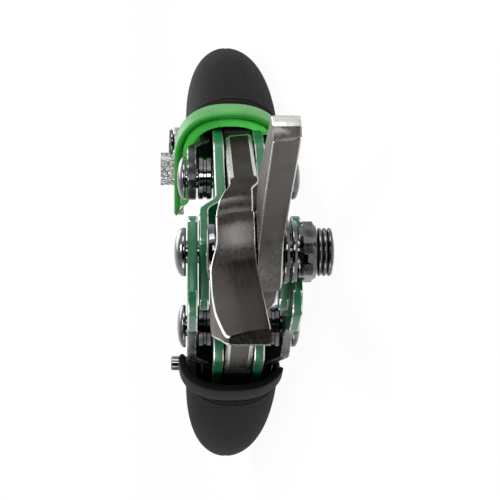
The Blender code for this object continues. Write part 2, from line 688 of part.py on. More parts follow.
def lever_outline(length, half_width):
    """A round-ended lever from the pivot at the origin towards -X."""
    steps = 12
    outline = []
    for centre, start in ((0.0, -0.5 * pi), (-length, 0.5 * pi)):
        for i in range(steps + 1):
            angle = start + pi * i / steps
            outline.append((centre + half_width * cos(angle), half_width * sin(angle)))
    return outline


def build_latch(pivot):
    """The thumb latch: a notched lever with a ridged pad, on the upper grip's side."""
    top = LATCH_Z + LATCH_BASE
    stud = LATCH_PIN_RADIUS + LATCH_GAP
    lever = prism("thumb_latch", lever_outline(LATCH_LENGTH + 1.2 * MM, LATCH_HALF_WIDTH), LATCH_Z, top,
                  latch_steel(), pivot)
    pad = prism("latch_pad_shape", pad_outline(), top - 0.5 * LATCH_BASE, top + LATCH_PAD_HEIGHT, None, pivot)
    pad.hide_render = True
    pad.display_type = "WIRE"
    union = lever.modifiers.new("thumb_pad", "BOOLEAN")
    union.operation = "UNION"
    union.solver = "EXACT"
    union.object = pad
    bore(lever, (0.0, 0.0), LATCH_PIN_RADIUS + BORE_CLEARANCE, LATCH_Z - CUT_MARGIN, top + CUT_MARGIN)
    slot = [(-LATCH_LENGTH - stud, 2 * LATCH_HALF_WIDTH)]
    for i in range(9):
        angle = pi + pi * i / 8
        slot.append((-LATCH_LENGTH + stud * cos(angle), stud * sin(angle)))
    slot.append((-LATCH_LENGTH + stud, 2 * LATCH_HALF_WIDTH))
    cut(lever, prism("latch_notch", slot, LATCH_Z - CUT_MARGIN, top + CUT_MARGIN, None, pivot))
    return lever


def pad_outline():
    """Outline of the thumb pad, with ridges across its two long sides."""
    low = []
    high = []
    length = LATCH_PAD_END - LATCH_PAD_START
    pitch = length / (2 * LATCH_RIDGES)
    for i in range(2 * LATCH_RIDGES + 1):
        x = -LATCH_PAD_START - i * pitch
        reach = LATCH_HALF_WIDTH - 0.4 * MM - (LATCH_RIDGE_DEPTH if i % 2 else 0.0)
        low.append((x, -reach))
        high.append((x, reach))
    return low + high[::-1]


def pin_profile(low, shoulder, cap, cap_radius):
    """Profile of a short pin with a flat cap."""
    return [
        (cap_radius - 0.3 * MM, shoulder + cap),
        (cap_radius, shoulder + cap - 0.3 * MM),
        (cap_radius, shoulder),
        (LATCH_PIN_RADIUS, shoulder),
        (LATCH_PIN_RADIUS, low),
    ]


def build_latch_pins(upper, lower, upper_grip, lower_grip):
    """The pin that the latch turns on and the stud that its notch catches when closed."""
    x, y = LATCH_PIVOT
    sink = CAVITY_CORNER * CAVITY_HALF_WIDTH + LAYER_GAP
    hole = LATCH_PIN_RADIUS + BORE_CLEARANCE
    foot = GRIP_SIDE - LATCH_PIN_SINK
    shoulder = LATCH_Z + LATCH_BASE + LAYER_GAP
    profile = pin_profile(foot, shoulder, LATCH_CAP, LATCH_HALF_WIDTH - 0.4 * MM)
    turned("latch_pin", profile, black_chrome(), upper, (x, y, 0.0), 20)
    bore(upper_grip, (x, y), hole, foot - BORE_CLEARANCE, GRIP_SIDE + CUT_MARGIN)
    keeper_x = x - LATCH_LENGTH * cos(LATCH_TURN)
    keeper_y = y + LATCH_LENGTH * sin(LATCH_TURN)
    stud_top = LATCH_Z + KEEPER_HEIGHT
    stud = [(LATCH_PIN_RADIUS, stud_top), (LATCH_PIN_RADIUS, sink + BORE_CLEARANCE)]
    turned("latch_keeper", stud, black_chrome(), lower, (keeper_x, keeper_y, 0.0), 20)
    bore(lower_grip, (keeper_x, keeper_y), hole, sink, GRIP_SIDE + CUT_MARGIN)


def set_down(root):
    """Move the whole tool so that the origin is under the middle of it, at its lowest point."""
    depsgraph = bpy.context.evaluated_depsgraph_get()
    points = []
    for obj in bpy.context.scene.objects:
        if obj.type == "MESH" and not obj.hide_render:
            shape = obj.evaluated_get(depsgraph)
            points += [shape.matrix_world @ vertex.co for vertex in shape.to_mesh().vertices]
            shape.to_mesh_clear()
    low = [min(point[axis] for point in points) for axis in range(3)]
    high = [max(point[axis] for point in points) for axis in range(3)]
    root.location = (-0.5 * (low[0] + high[0]), -0.5 * (low[1] + high[1]), -low[2])


def main():
    """Build the tool from its placement guides outwards."""
    clear_scene()
    root = empty("tool_root", None, (0.0, 0.0, 0.0))
    root.rotation_euler = (-REST_TILT, 0.0, 0.0)
    pivot = (0.0, BOLT_TO_HANDLE_PIVOT, 0.0)
    upper = empty("upper_handle_pivot", root, pivot, -HANDLE_OPENING)
    lower = empty("lower_handle_pivot", root, pivot, HANDLE_OPENING)
    lower_jaw_pivot = empty("lower_jaw_pivot", root, (RIVET_OPEN[0], RIVET_OPEN[1], 0.0), -JAW_OPENING)
    upper_jaw_pivot = empty("upper_jaw_pivot", root, (-RIVET_OPEN[0], RIVET_OPEN[1], 0.0), JAW_OPENING)

    lower_shear = SHEAR_PLANE + 0.5 * SHEAR_GAP
    upper_shear = SHEAR_PLANE - 0.5 * SHEAR_GAP
    lower_faces = (LOWER_TIP_FACE, LOWER_BLADE_FACE, LOWER_HUB_FACE)
    upper_faces = (-UPPER_TIP_FACE, -UPPER_BLADE_FACE, -UPPER_HUB_FACE)
    lower_bore = BOLT_RADIUS + BORE_CLEARANCE
    upper_bore = BOLT_RADIUS + OPEN_PIVOT_CLEARANCE
    lower_ground = (LOWER_TIP_SHOULDER, LOWER_BEVEL)
    upper_ground = (UPPER_TIP_SHOULDER, UPPER_BEVEL)
    jaw("lower_jaw", 1, lower_shear, lower_faces, lower_ground, lower_bore, lower_jaw_pivot)
    jaw("upper_jaw", -1, upper_shear, upper_faces, upper_ground, upper_bore, upper_jaw_pivot)
    build_main_bolt(lower_jaw_pivot)

    for level, tag in ((1, "left"), (-1, "right")):
        build_upper_plates(upper, level, tag)
        build_lower_plates(lower, level, tag)
        build_spacer(f"upper_spacer_{tag}", upper, 1, level)
        build_spacer(f"lower_spacer_{tag}", lower, -1, level)
    upper_place = (RIVET_OFFSET, RIVET_ALONG_HANDLE, 0.0)
    lower_place = (-RIVET_OFFSET, RIVET_ALONG_HANDLE, 0.0)
    hinge_place = (0.0, 0.0, 0.0)
    rivet("upper_rivet", RIVET_HEAD_RADIUS, RIVET_HEAD_HEIGHT, upper, upper_place)
    rivet("lower_rivet", RIVET_HEAD_RADIUS, RIVET_HEAD_HEIGHT, lower, lower_place)
    rivet("handle_rivet", HANDLE_RIVET_HEAD_RADIUS, HANDLE_RIVET_HEAD_HEIGHT, lower, hinge_place)
    sleeve_bore = RIVET_RADIUS + BORE_CLEARANCE
    sleeve_half = HANDLE_Z - LAYER_GAP
    sleeve = (sleeve_bore, sleeve_bore + SLEEVE_WALL, -sleeve_half, sleeve_half)
    tube("handle_sleeve", *sleeve, black_chrome(), lower, hinge_place)

    upper_grip = build_grip("upper_grip", upper, 1)
    lower_grip = build_grip("lower_grip", lower, -1)
    build_core("upper_core", upper, 1)
    build_core("lower_core", lower, -1)
    build_upper_collar(upper)
    build_lower_rim(lower)

    latch_pivot = empty("latch_pivot", upper, (LATCH_PIVOT[0], LATCH_PIVOT[1], 0.0))
    build_latch(latch_pivot)
    build_latch_pins(upper, lower, upper_grip, lower_grip)
    set_down(root)


main()
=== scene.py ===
"""Looks of a pair of compound-action bypass shears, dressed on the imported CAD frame.

Sizes are in millimetres and follow the part's source. Most pieces are drawn in the frame of
their own handle or jaw as it lies in the closed tool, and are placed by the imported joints. The
latch, its pin and its keeper are the CAD's own shapes with eased edges.
"""

from __future__ import annotations

import json
import logging
import math
from dataclasses import dataclass
from enum import Enum
from typing import Callable, Optional, Sequence

import bmesh
import bpy
from mathutils import Matrix, Vector

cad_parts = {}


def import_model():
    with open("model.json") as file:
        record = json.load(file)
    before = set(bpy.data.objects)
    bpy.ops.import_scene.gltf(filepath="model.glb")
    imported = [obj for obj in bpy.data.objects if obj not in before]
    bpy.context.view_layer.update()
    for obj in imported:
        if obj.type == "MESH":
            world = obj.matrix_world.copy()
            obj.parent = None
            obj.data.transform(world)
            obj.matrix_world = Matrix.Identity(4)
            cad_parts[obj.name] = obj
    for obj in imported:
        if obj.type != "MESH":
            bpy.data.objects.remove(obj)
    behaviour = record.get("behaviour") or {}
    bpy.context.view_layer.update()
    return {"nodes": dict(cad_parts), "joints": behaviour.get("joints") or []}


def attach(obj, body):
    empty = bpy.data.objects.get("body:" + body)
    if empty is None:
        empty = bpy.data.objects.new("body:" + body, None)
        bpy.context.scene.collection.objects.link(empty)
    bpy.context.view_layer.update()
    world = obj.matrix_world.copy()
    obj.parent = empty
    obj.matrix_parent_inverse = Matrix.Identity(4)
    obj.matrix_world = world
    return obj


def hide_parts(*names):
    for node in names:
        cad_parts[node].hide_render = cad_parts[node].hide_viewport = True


LOG = logging.getLogger("shears")
MM = 0.001
# Turned pieces end in a ring of this radius and not in a point, so that no face has zero area
NEAR_AXIS = 0.02
# Share of a side that the rounding of one corner may take, so that two never meet
FILLET_SHARE = 0.45
# Angle in degrees above which an edge stays sharp, where a piece gives none of its own
SHARP_ANGLE = 38.0

Point = tuple[float, float, float]
Flat = tuple[float, float]
Station = tuple[float, ...]
Tree = bpy.types.NodeTree
Node = bpy.types.Node
Socket = bpy.types.NodeSocket
Mesh = bmesh.types.BMesh
Piece = bpy.types.Object


class Side(Enum):
    """Which handle a piece belongs to, with its sign along X."""

    UPPER = 1
    LOWER = -1

    @property
    def word(self) -> str:
        """How the names of nodes begin on this side."""
        return self.name.lower()

    @property
    def body(self) -> str:
        """Name of the handle's CAD body."""
        return f"{self.word}_handle"


class Layer(Enum):
    """Which face of the stack a plate lies on, with its sign along the pivots' axis."""

    LEFT = 1
    RIGHT = -1


def linear(code: str) -> tuple[float, float, float, float]:
    """Turn an sRGB hex colour to linear.

    Args:
        code: Six hex digits, with or without a leading hash.

    Returns:
        Linear red, green, blue and an alpha of 1.
    """
    digits = code.lstrip("#")
    shares = [int(digits[i : i + 2], 16) / 255 for i in (0, 2, 4)]
    red, green, blue = (s / 12.92 if s <= 0.04045 else ((s + 0.055) / 1.055) ** 2.4 for s in shares)
    return (red, green, blue, 1.0)


def per_mm(size: float) -> float:
    """Texture scale, in repeats per metre, of a pattern whose features are this many millimetres."""
    return 1.0 / (size * MM)


def add_node(tree: Tree, kind: str, sockets: Optional[dict] = None, **settings: object) -> Node:
    """Add a node with its settings and links.

    Args:
        tree: The node tree that it goes into.
        kind: Blender's name of the node's type, without the common prefix.
        sockets: Input name or number to a value, or to the socket or node that feeds it.
        settings: Properties of the node.

    Returns:
        The new node.
    """
    node = tree.nodes.new(f"ShaderNode{kind}")
    for key, value in settings.items():
        setattr(node, key, value)
    for key, value in (sockets or {}).items():
        feed = value.outputs[0] if isinstance(value, Node) else value
        if isinstance(feed, Socket):
            tree.links.new(feed, node.inputs[key])
        else:
            node.inputs[key].default_value = feed
    return node


def empty_material(name: str) -> bpy.types.Material:
    """Make a material whose node tree is empty.

    Args:
        name: The material's name.

    Returns:
        The new material.
    """
    material = bpy.data.materials.new(name)
    material.use_nodes = True
    material.node_tree.nodes.clear()
    return material


@dataclass(frozen=True)
class Finish:
    """A surface finish: its material is made once and shared by every piece that has it.

    The two roughnesses are the limits that the surface wanders between. Grain, relief and cloud
    are the real sizes of the surface's texture, its height and its mottling, in millimetres.
    """

    name: str
    colour: str
    shade: str
    roughness: Flat
    grain: float
    relief: float
    cloud: float = 9.0
    metallic: float = 0.0

    def material(self) -> bpy.types.Material:
        """Give the finish's material.

        Returns:
            The material, made on its first use.
        """
        found = bpy.data.materials.get(self.name)
        if found is not None:
            return found
        material = empty_material(self.name)
        tree = material.node_tree
        shader = add_node(tree, "BsdfPrincipled", self.constants())
        add_node(tree, "OutputMaterial", {"Surface": shader})
        self.paint(tree, shader, add_node(tree, "TexCoord").outputs["Object"])
        return material

    def constants(self) -> dict[str, object]:
        """Values of the shader's sockets that are the same all over the surface."""
        return {"Metallic": self.metallic}

    def paint(self, tree: Tree, shader: Node, place: Socket) -> None:
        """Add the patterns of this finish, here a mottle in the colour and a fine grain.

        Args:
            tree: The material's node tree.
            shader: Its surface shader.
            place: Position on the piece, in metres.
        """
        cloud = add_node(tree, "TexNoise", {"Vector": place, "Scale": per_mm(self.cloud), "Detail": 4.0})
        grain = add_node(tree, "TexNoise", {"Vector": place, "Scale": per_mm(self.grain), "Detail": 3.0})
        share = add_node(tree, "MapRange", {"Value": cloud, "From Min": 0.38, "From Max": 0.62})
        self.dress(tree, shader, share, grain, grain)

    def dress(self, tree: Tree, shader: Node, share: Node, wear: Node, height: Node) -> None:
        """Let patterns choose the colour and the roughness and raise the surface.

        Args:
            tree: The material's node tree.
            shader: Its surface shader.
            share: 0 gives the shade and 1 the colour.
            wear: Moves the roughness between its limits.
            height: Raises the surface by the relief.
        """
        colours = {0: share, 6: linear(self.shade), 7: linear(self.colour)}
        mix = add_node(tree, "Mix", colours, data_type="RGBA")
        low, high = self.roughness
        limits = {"Value": wear, "From Min": 0.3, "From Max": 0.7, "To Min": low, "To Max": high}
        rough = add_node(tree, "MapRange", limits)
        bump = add_node(tree, "Bump", {"Height": height, "Strength": 1.0, "Distance": self.relief * MM})
        tree.links.new(mix.outputs[2], shader.inputs["Base Color"])
        tree.links.new(rough.outputs[0], shader.inputs["Roughness"])
        tree.links.new(bump.outputs[0], shader.inputs["Normal"])


@dataclass(frozen=True)
class MouldedRubber(Finish):
    """Thermoplastic rubber from a spark-eroded mould: deep black, with a fine dull grain and faint dust."""

    dust: str = "#4A4A49"
    speck: float = 1.1
    ior: float = 1.45
    specular: float = 0.07

    def constants(self) -> dict[str, object]:
        """The index of rubber, and a mould texture that takes most of the gloss away."""
        return {**super().constants(), "IOR": self.ior, "Specular IOR Level": self.specular}

    def paint(self, tree: Tree, shader: Node, place: Socket) -> None:
        """Grain and a few pale specks on a clouded black.

        Args:
            tree: The material's node tree.
            shader: Its surface shader.
            place: Position on the piece, in metres.
        """
        super().paint(tree, shader, place)
        noise = add_node(tree, "TexNoise", {"Vector": place, "Scale": per_mm(self.speck), "Detail": 1.0})
        specks = add_node(tree, "MapRange", {"Value": noise, "From Min": 0.76, "From Max": 0.84})
        black = shader.inputs["Base Color"].links[0].from_socket
        dusted = add_node(tree, "Mix", {0: specks, 6: black, 7: linear(self.dust)}, data_type="RGBA")
        tree.links.new(dusted.outputs[2], shader.inputs["Base Color"])


@dataclass(frozen=True)
class MouldedPlastic(Finish):
    """Injection-moulded plastic: even colour, a soft gloss, a slight flow mottle and light that sinks in."""

    depth: float = 0.05
    reach: Point = (0.6, 1.2, 0.5)
    ior: float = 1.49
    specular: float = 0.28

    def constants(self) -> dict[str, object]:
        """The index and gloss of the plastic, and how far light goes in."""
        sunk = {"Subsurface Weight": self.depth, "Subsurface Radius": [size * MM for size in self.reach]}
        return {**super().constants(), "IOR": self.ior, "Specular IOR Level": self.specular, **sunk}


@dataclass(frozen=True)
class Enamel(Finish):
    """Stoved enamel on stamped steel: dark colour under a thin clear gloss with a slight orange peel."""

    coat: float = 0.12
    coat_roughness: float = 0.14
    specular: float = 0.3

    def constants(self) -> dict[str, object]:
        """The gloss of the colour and of the clear top."""
        top = {"Coat Weight": self.coat, "Coat Roughness": self.coat_roughness}
        return {**super().constants(), "Specular IOR Level": self.specular, **top}


@dataclass(frozen=True)
class WearAndHighlightEdge(Finish):
    """Edge where the coating has rubbed through to bare steel, drawn pale as a painted highlight along the
    rounded edge, broken by what is left of the coat.
    """

    metallic: float = 1.0
    kept: float = 0.36
    fade: float = 0.08

    def paint(self, tree: Tree, shader: Node, place: Socket) -> None:
        """Chips of coat on bare metal that is drawn pale as a painted highlight; the chips also decide what
        is metallic.

        Args:
            tree: The material's node tree.
            shader: Its surface shader.
            place: Position on the piece, in metres.
        """
        chips = add_node(tree, "TexNoise", {"Vector": place, "Scale": per_mm(self.cloud), "Detail": 5.0})
        limits = {"Value": chips, "From Min": self.kept, "From Max": self.kept + self.fade}
        # Share of bare steel, which is also where the pale painted highlight lies
        bare_and_highlit = add_node(tree, "MapRange", limits)
        grain = add_node(tree, "TexNoise", {"Vector": place, "Scale": per_mm(self.grain), "Detail": 2.0})
        self.dress(tree, shader, bare_and_highlit, grain, grain)
        tree.links.new(bare_and_highlit.outputs[0], shader.inputs["Metallic"])


@dataclass(frozen=True)
class Plated(Finish):
    """Black chrome plate on turned steel: a dark mirror with hairlines from handling."""

    metallic: float = 1.0
    along: Point = (1.0, 0.12, 1.0)

    def paint(self, tree: Tree, shader: Node, place: Socket) -> None:
        """Hairlines across a clouded mirror.

        Args:
            tree: The material's node tree.
            shader: Its surface shader.
            place: Position on the piece, in metres.
        """
        drawn = add_node(tree, "Mapping", {"Vector": place, "Scale": self.along})
        lines = add_node(tree, "TexNoise", {"Vector": drawn, "Scale": per_mm(self.grain), "Detail": 2.0})
        cloud = add_node(tree, "TexNoise", {"Vector": place, "Scale": per_mm(self.cloud), "Detail": 3.0})
        share = add_node(tree, "MapRange", {"Value": cloud, "From Min": 0.35, "From Max": 0.65})
        self.dress(tree, shader, share, lines, lines)


@dataclass(frozen=True)
class DrawnSteel(Finish):
    """Forged steel, linished along its length: streaked dull metal with oil clouds.

    The streaks of a real belt are under 0.1 mm wide, and are drawn coarser so that they show.
    """

    metallic: float = 1.0
    along: Point = (1.0, 0.05, 1.0)
    glance: str = "#FFFFFF"

    def constants(self) -> dict[str, object]:
        """The tint that the oil film gives to the metal at a glancing angle."""
        return {**super().constants(), "Specular Tint": linear(self.glance)}

    def paint(self, tree: Tree, shader: Node, place: Socket) -> None:
        """Streaks in colour, roughness and relief, over wide clouds.

        Args:
            tree: The material's node tree.
            shader: Its surface shader.
            place: Position on the piece, in metres.
        """
        drawn = add_node(tree, "Mapping", {"Vector": place, "Scale": self.along})
        streaks = add_node(tree, "TexNoise", {"Vector": drawn, "Scale": per_mm(self.grain), "Detail": 4.0})
        clouds = add_node(tree, "TexNoise", {"Vector": place, "Scale": per_mm(self.cloud), "Detail": 3.0})
        both = add_node(tree, "Math", {0: streaks, 1: clouds}, operation="ADD")
        share = add_node(tree, "MapRange", {"Value": both, "From Min": 0.75, "From Max": 1.25})
        self.dress(tree, shader, share, streaks, streaks)


@dataclass(frozen=True)
class KnurledSteel(Finish):
    """Cast zinc-plated steel with a rolled knurl: grey, with a light and dark speckle in the colour that
    paints the glints of its small pyramids.
    """

    metallic: float = 1.0
    pitch: float = 0.9

    def paint(self, tree: Tree, shader: Node, place: Socket) -> None:
        """Crossed grooves with a speckle of painted glints on top.

        Args:
            tree: The material's node tree.
            shader: Its surface shader.
            place: Position on the piece, in metres.
        """
        heights = []
        for turn in (0.25 * math.pi, -0.25 * math.pi):
            turned = add_node(tree, "Mapping", {"Vector": place, "Rotation": (turn, turn, turn)})
            # The wave's phase in radians is twenty times its scaled position
            scale = per_mm(self.pitch) / 20.0 * 2.0 * math.pi
            heights.append(add_node(tree, "TexWave", {"Vector": turned, "Scale": scale}).outputs[1])
        crossed = add_node(tree, "Math", {0: heights[0], 1: heights[1]}, operation="MULTIPLY")
        # Light and dark speckle in the colour: painted glints of the knurl
        glint_speckle = add_node(tree, "TexNoise", {"Vector": place, "Scale": per_mm(self.grain), "Detail": 2.0})
        share = add_node(tree, "MapRange", {"Value": glint_speckle, "From Min": 0.36, "From Max": 0.62})
        self.dress(tree, shader, share, glint_speckle, crossed)


# Grips: a deep black that gives back hardly any light, with a dull even grain
GRIP_RUBBER = MouldedRubber(
    "moulded_black_rubber", "#0D0D0E", "#080809",
    roughness=(0.6, 0.76), grain=0.45, relief=0.05, cloud=14.0,
)
# Lip of the lower grip: the same rubber, a little smoother where hands rub it, and painted a shade darker
# than the grip as painted shade
RIM_RUBBER = MouldedRubber(
    "moulded_black_rubber_lip", "#0B0B0C", "#070708",
    roughness=(0.52, 0.66), grain=0.45, relief=0.03, cloud=8.0,
)
# Collar: a strong even green with a soft gloss
LIME_PLASTIC = MouldedPlastic(
    "moulded_lime_polypropylene", "#1C8A1C", "#167817",
    roughness=(0.3, 0.42), grain=0.6, relief=0.02,
)
# Liner of the collar: a paler lime that paints a glow beside the dark plates
LIME_LINER_PAINTED_GLOW = MouldedPlastic(
    "moulded_bright_lime_polypropylene", "#5ADD5B", "#48C84C",
    roughness=(0.28, 0.4), grain=0.6, relief=0.02,
)
# Front edge of the collar: a greyer, duller lime, mottled unevenly
LIME_EDGE = MouldedPlastic(
    "greyer_lime_polypropylene_edge", "#34803A", "#287A2A",
    roughness=(0.36, 0.5), grain=0.5, relief=0.03, cloud=3.0,
)
# Fillers inside the grips: plain dark grey
CORE_NYLON = MouldedPlastic(
    "moulded_black_nylon", "#202022", "#18181A",
    roughness=(0.5, 0.62), grain=0.6, relief=0.03,
)
# Inner plates and cheeks: dark green under a clear gloss
GREEN_ENAMEL = Enamel(
    "stoved_dark_green_enamel", "#0F623A", "#094F2E",
    roughness=(0.3, 0.42), grain=1.1, relief=0.03,
)
# Outer plates: nearly black, with a weak sheen of steel under the colour
BLACK_PLATE = Enamel(
    "blackened_steel_plate", "#202122", "#151516",
    roughness=(0.3, 0.44), grain=0.7, relief=0.02, cloud=6.0, metallic=0.35, coat=0.2,
)
# Rounded edges of green plates: thin bright lines of painted highlight on paint rubbed through to steel, with
# flecks of green left
GREEN_WEAR_AND_HIGHLIGHT = WearAndHighlightEdge(
    "rubbed_green_enamel_edge", "#CDD3CE", "#25704A",
    roughness=(0.24, 0.36), grain=0.3, relief=0.01, cloud=2.4, kept=0.38,
)
# Rounded edges of black plates: grey lines of painted highlight on rubbed-through paint, half of them still
# black
BLACK_WEAR_AND_HIGHLIGHT = WearAndHighlightEdge(
    "rubbed_black_plate_edge", "#A9ABAC", "#2A2B2C",
    roughness=(0.28, 0.42), grain=0.3, relief=0.02, cloud=1.8, kept=0.5,
)
# Bolt, nut, washers, spacers and rivets: dark mirrors with small sharp lights
BLACK_CHROME = Plated(
    "turned_black_chrome", "#747577", "#414243",
    roughness=(0.05, 0.12), grain=0.35, relief=0.004, cloud=3.0,
)
# Lower jaw: a dark warm grey, streaked along the blade
BLADE_STEEL = DrawnSteel(
    "linished_gunmetal_blade_steel", "#413F3D", "#2A2827",
    roughness=(0.26, 0.38), grain=0.5, relief=0.012, cloud=12.0, glance="#C4C0BD",
)
# Upper jaw: the same steel, painted paler for the extra light it catches: painted light
BLADE_STEEL_PAINTED_LIGHT = DrawnSteel(
    "linished_pale_gunmetal_blade_steel", "#605D5B", "#454341",
    roughness=(0.26, 0.38), grain=0.5, relief=0.012, cloud=12.0, glance="#D6D3D1",
)
# Edges of both jaws: ground steel, painted nearly white as a highlight along the rounded edges, with short
# streaks
GROUND_AND_HIGHLIGHT_STEEL = DrawnSteel(
    "ground_bright_blade_edge", "#D2D1CE", "#B9B7B3",
    roughness=(0.2, 0.3), grain=0.4, relief=0.002, cloud=5.0, along=(1.0, 0.6, 1.0),
)
# Thumb latch: grey, with painted glints speckled over the knurl
LATCH_STEEL = KnurledSteel(
    "knurled_zinc_plated_steel", "#B4B6B3", "#5E605E",
    roughness=(0.34, 0.52), grain=0.35, relief=0.12,
)


def smooth_stations(stations: Sequence[Station], step: float) -> list[Station]:
    """Run a smooth curve without overshoot through stations whose first number rises.

    Args:
        stations: Rows of equal length, the first number being the distance along the piece.
        step: Longest distance between two rows of the result.

    Returns:
        More rows, through the given ones.
    """
    width = len(stations[0])
    gaps = [b[0] - a[0] for a, b in zip(stations, stations[1:])]
    slopes = [[(b[c] - a[c]) / g for c in range(width)] for a, b, g in zip(stations, stations[1:], gaps)]
    tangents = [slopes[0]]
    for before, after in zip(slopes, slopes[1:]):
        tangents.append([2 * p * q / (p + q) if p * q > 0 else 0.0 for p, q in zip(before, after)])
    tangents.append(slopes[-1])
    rows: list[Station] = []
    for k, gap in enumerate(gaps):
        count = max(1, math.ceil(gap / step))
        for i in range(count):
            t = i / count
            weights = (2 * t**3 - 3 * t**2 + 1, t**3 - 2 * t**2 + t, -2 * t**3 + 3 * t**2, t**3 - t**2)
            row = []
            for c in range(width):
                parts = (stations[k][c], gap * tangents[k][c], stations[k + 1][c], gap * tangents[k + 1][c])
                row.append(sum(w * p for w, p in zip(weights, parts)))
            row[0] = stations[k][0] + t * gap
            rows.append(tuple(row))
    rows.append(tuple(stations[-1]))
    return rows


def fillet(corners: Sequence[Flat], radii: Sequence[float], steps: int = 3) -> list[Flat]:
    """Round each corner of a closed outline.

    Args:
        corners: The outline's corners in order.
        radii: How far each rounding reaches along its two sides.
        steps: Segments per corner.

    Returns:
        steps + 1 points for each corner.
    """
    points = []
    count = len(corners)
    for i, corner in enumerate(corners):
        here = Vector(corner)
        back = Vector(corners[i - 1]) - here
        ahead = Vector(corners[(i + 1) % count]) - here
        start = here + back.normalized() * min(radii[i], FILLET_SHARE * back.length)
        end = here + ahead.normalized() * min(radii[i], FILLET_SHARE * ahead.length)
        for s in range(steps + 1):
            t = s / steps
            point = start * (1 - t) ** 2 + here * (2 * t * (1 - t)) + end * t**2
            points.append((point.x, point.y))
    return points


def loft(sections: Sequence[Sequence[Point]], paint: Optional[Callable[[int, int], int]] = None) -> Mesh:
    """Skin equal closed sections from the first to the last and cap both ends.

    Args:
        sections: Rings of points in millimetres.
        paint: Gives the material number of the face at a section and a point.

    Returns:
        A closed mesh.
    """
    bm = bmesh.new()
    loops = [[bm.verts.new(point) for point in section] for section in sections]
    for k, (near, far) in enumerate(zip(loops, loops[1:])):
        count = len(near)
        for j in range(count):
            i = (j + 1) % count
            face = bm.faces.new((near[j], near[i], far[i], far[j]))
            face.material_index = paint(k, j) if paint else 0
    bm.faces.new(loops[0])
    bm.faces.new(loops[-1])
    return bm


def turn(profile: Sequence[Flat], centre: Flat = (0.0, 0.0), segments: int = 64) -> Mesh:
    """Turn a closed piece.

    Args:
        profile: Its outline as (radius, height), which starts and ends near the axis.
        centre: Where its axis stands in x and y.
        segments: Faces round it.

    Returns:
        A closed mesh.
    """
    x, y = centre
    angles = [2 * math.pi * i / segments for i in range(segments)]
    return loft([[(x + r * math.cos(a), y + r * math.sin(a), z) for a in angles] for r, z in profile])


def loft_round(rings: Sequence[Sequence[Point]]) -> Mesh:
    """Skin equal closed sections that run round to the first one again.

    Args:
        rings: Rings of points in millimetres.

    Returns:
        A closed mesh.
    """
    bm = bmesh.new()
    loops = [[bm.verts.new(point) for point in ring] for ring in rings]
    for near, far in zip(loops, loops[1:] + loops[:1]):
        for j in range(len(near)):
            i = (j + 1) % len(near)
            bm.faces.new((near[j], near[i], far[i], far[j]))
    return bm


def turn_ring(profile: Sequence[Flat], centre: Flat = (0.0, 0.0), segments: int = 64) -> Mesh:
    """Turn a ring.

    Args:
        profile: Its closed cross-section as (radius, height).
        centre: Where its axis stands in x and y.
        segments: Faces round it.

    Returns:
        A closed mesh.
    """
    x, y = centre
    angles = [2 * math.pi * i / segments for i in range(segments)]
    return loft_round([[(x + r * math.cos(a), y + r * math.sin(a), z) for r, z in profile] for a in angles])


@dataclass(frozen=True)
class Seat:
    """Where a piece goes: its placement, the body it rides on, its material slot and its CAD nodes."""

    matrix: Matrix
    body: str
    slot: str
    nodes: tuple[str, ...]


def place_piece(
    name: str, bm: Mesh, seat: Seat, finishes: Sequence[Finish], sharp: float = SHARP_ANGLE
) -> None:
    """Make a piece from a mesh in millimetres, dress it and set it on its body.

    Args:
        name: The piece's name.
        bm: Its mesh, which is used up.
        seat: Where it goes and what it stands for.
        finishes: Its finishes, in the order of the mesh's material numbers.
        sharp: Angle in degrees above which an edge stays sharp.
    """
    bmesh.ops.scale(bm, vec=(MM, MM, MM), verts=bm.verts)
    bmesh.ops.recalc_face_normals(bm, faces=bm.faces)
    mesh = bpy.data.meshes.new(name)
    bm.to_mesh(mesh)
    bm.free()
    mesh.shade_smooth()
    mesh.set_sharp_from_angle(angle=math.radians(sharp))
    for finish in finishes:
        mesh.materials.append(finish.material())
    piece = bpy.data.objects.new(name, mesh)
    bpy.context.scene.collection.objects.link(piece)
    piece.matrix_world = seat.matrix
    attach(piece, seat.body)
    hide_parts(*seat.nodes)
    LOG.info("%s: %d faces on %s", name, len(mesh.polygons), seat.body)


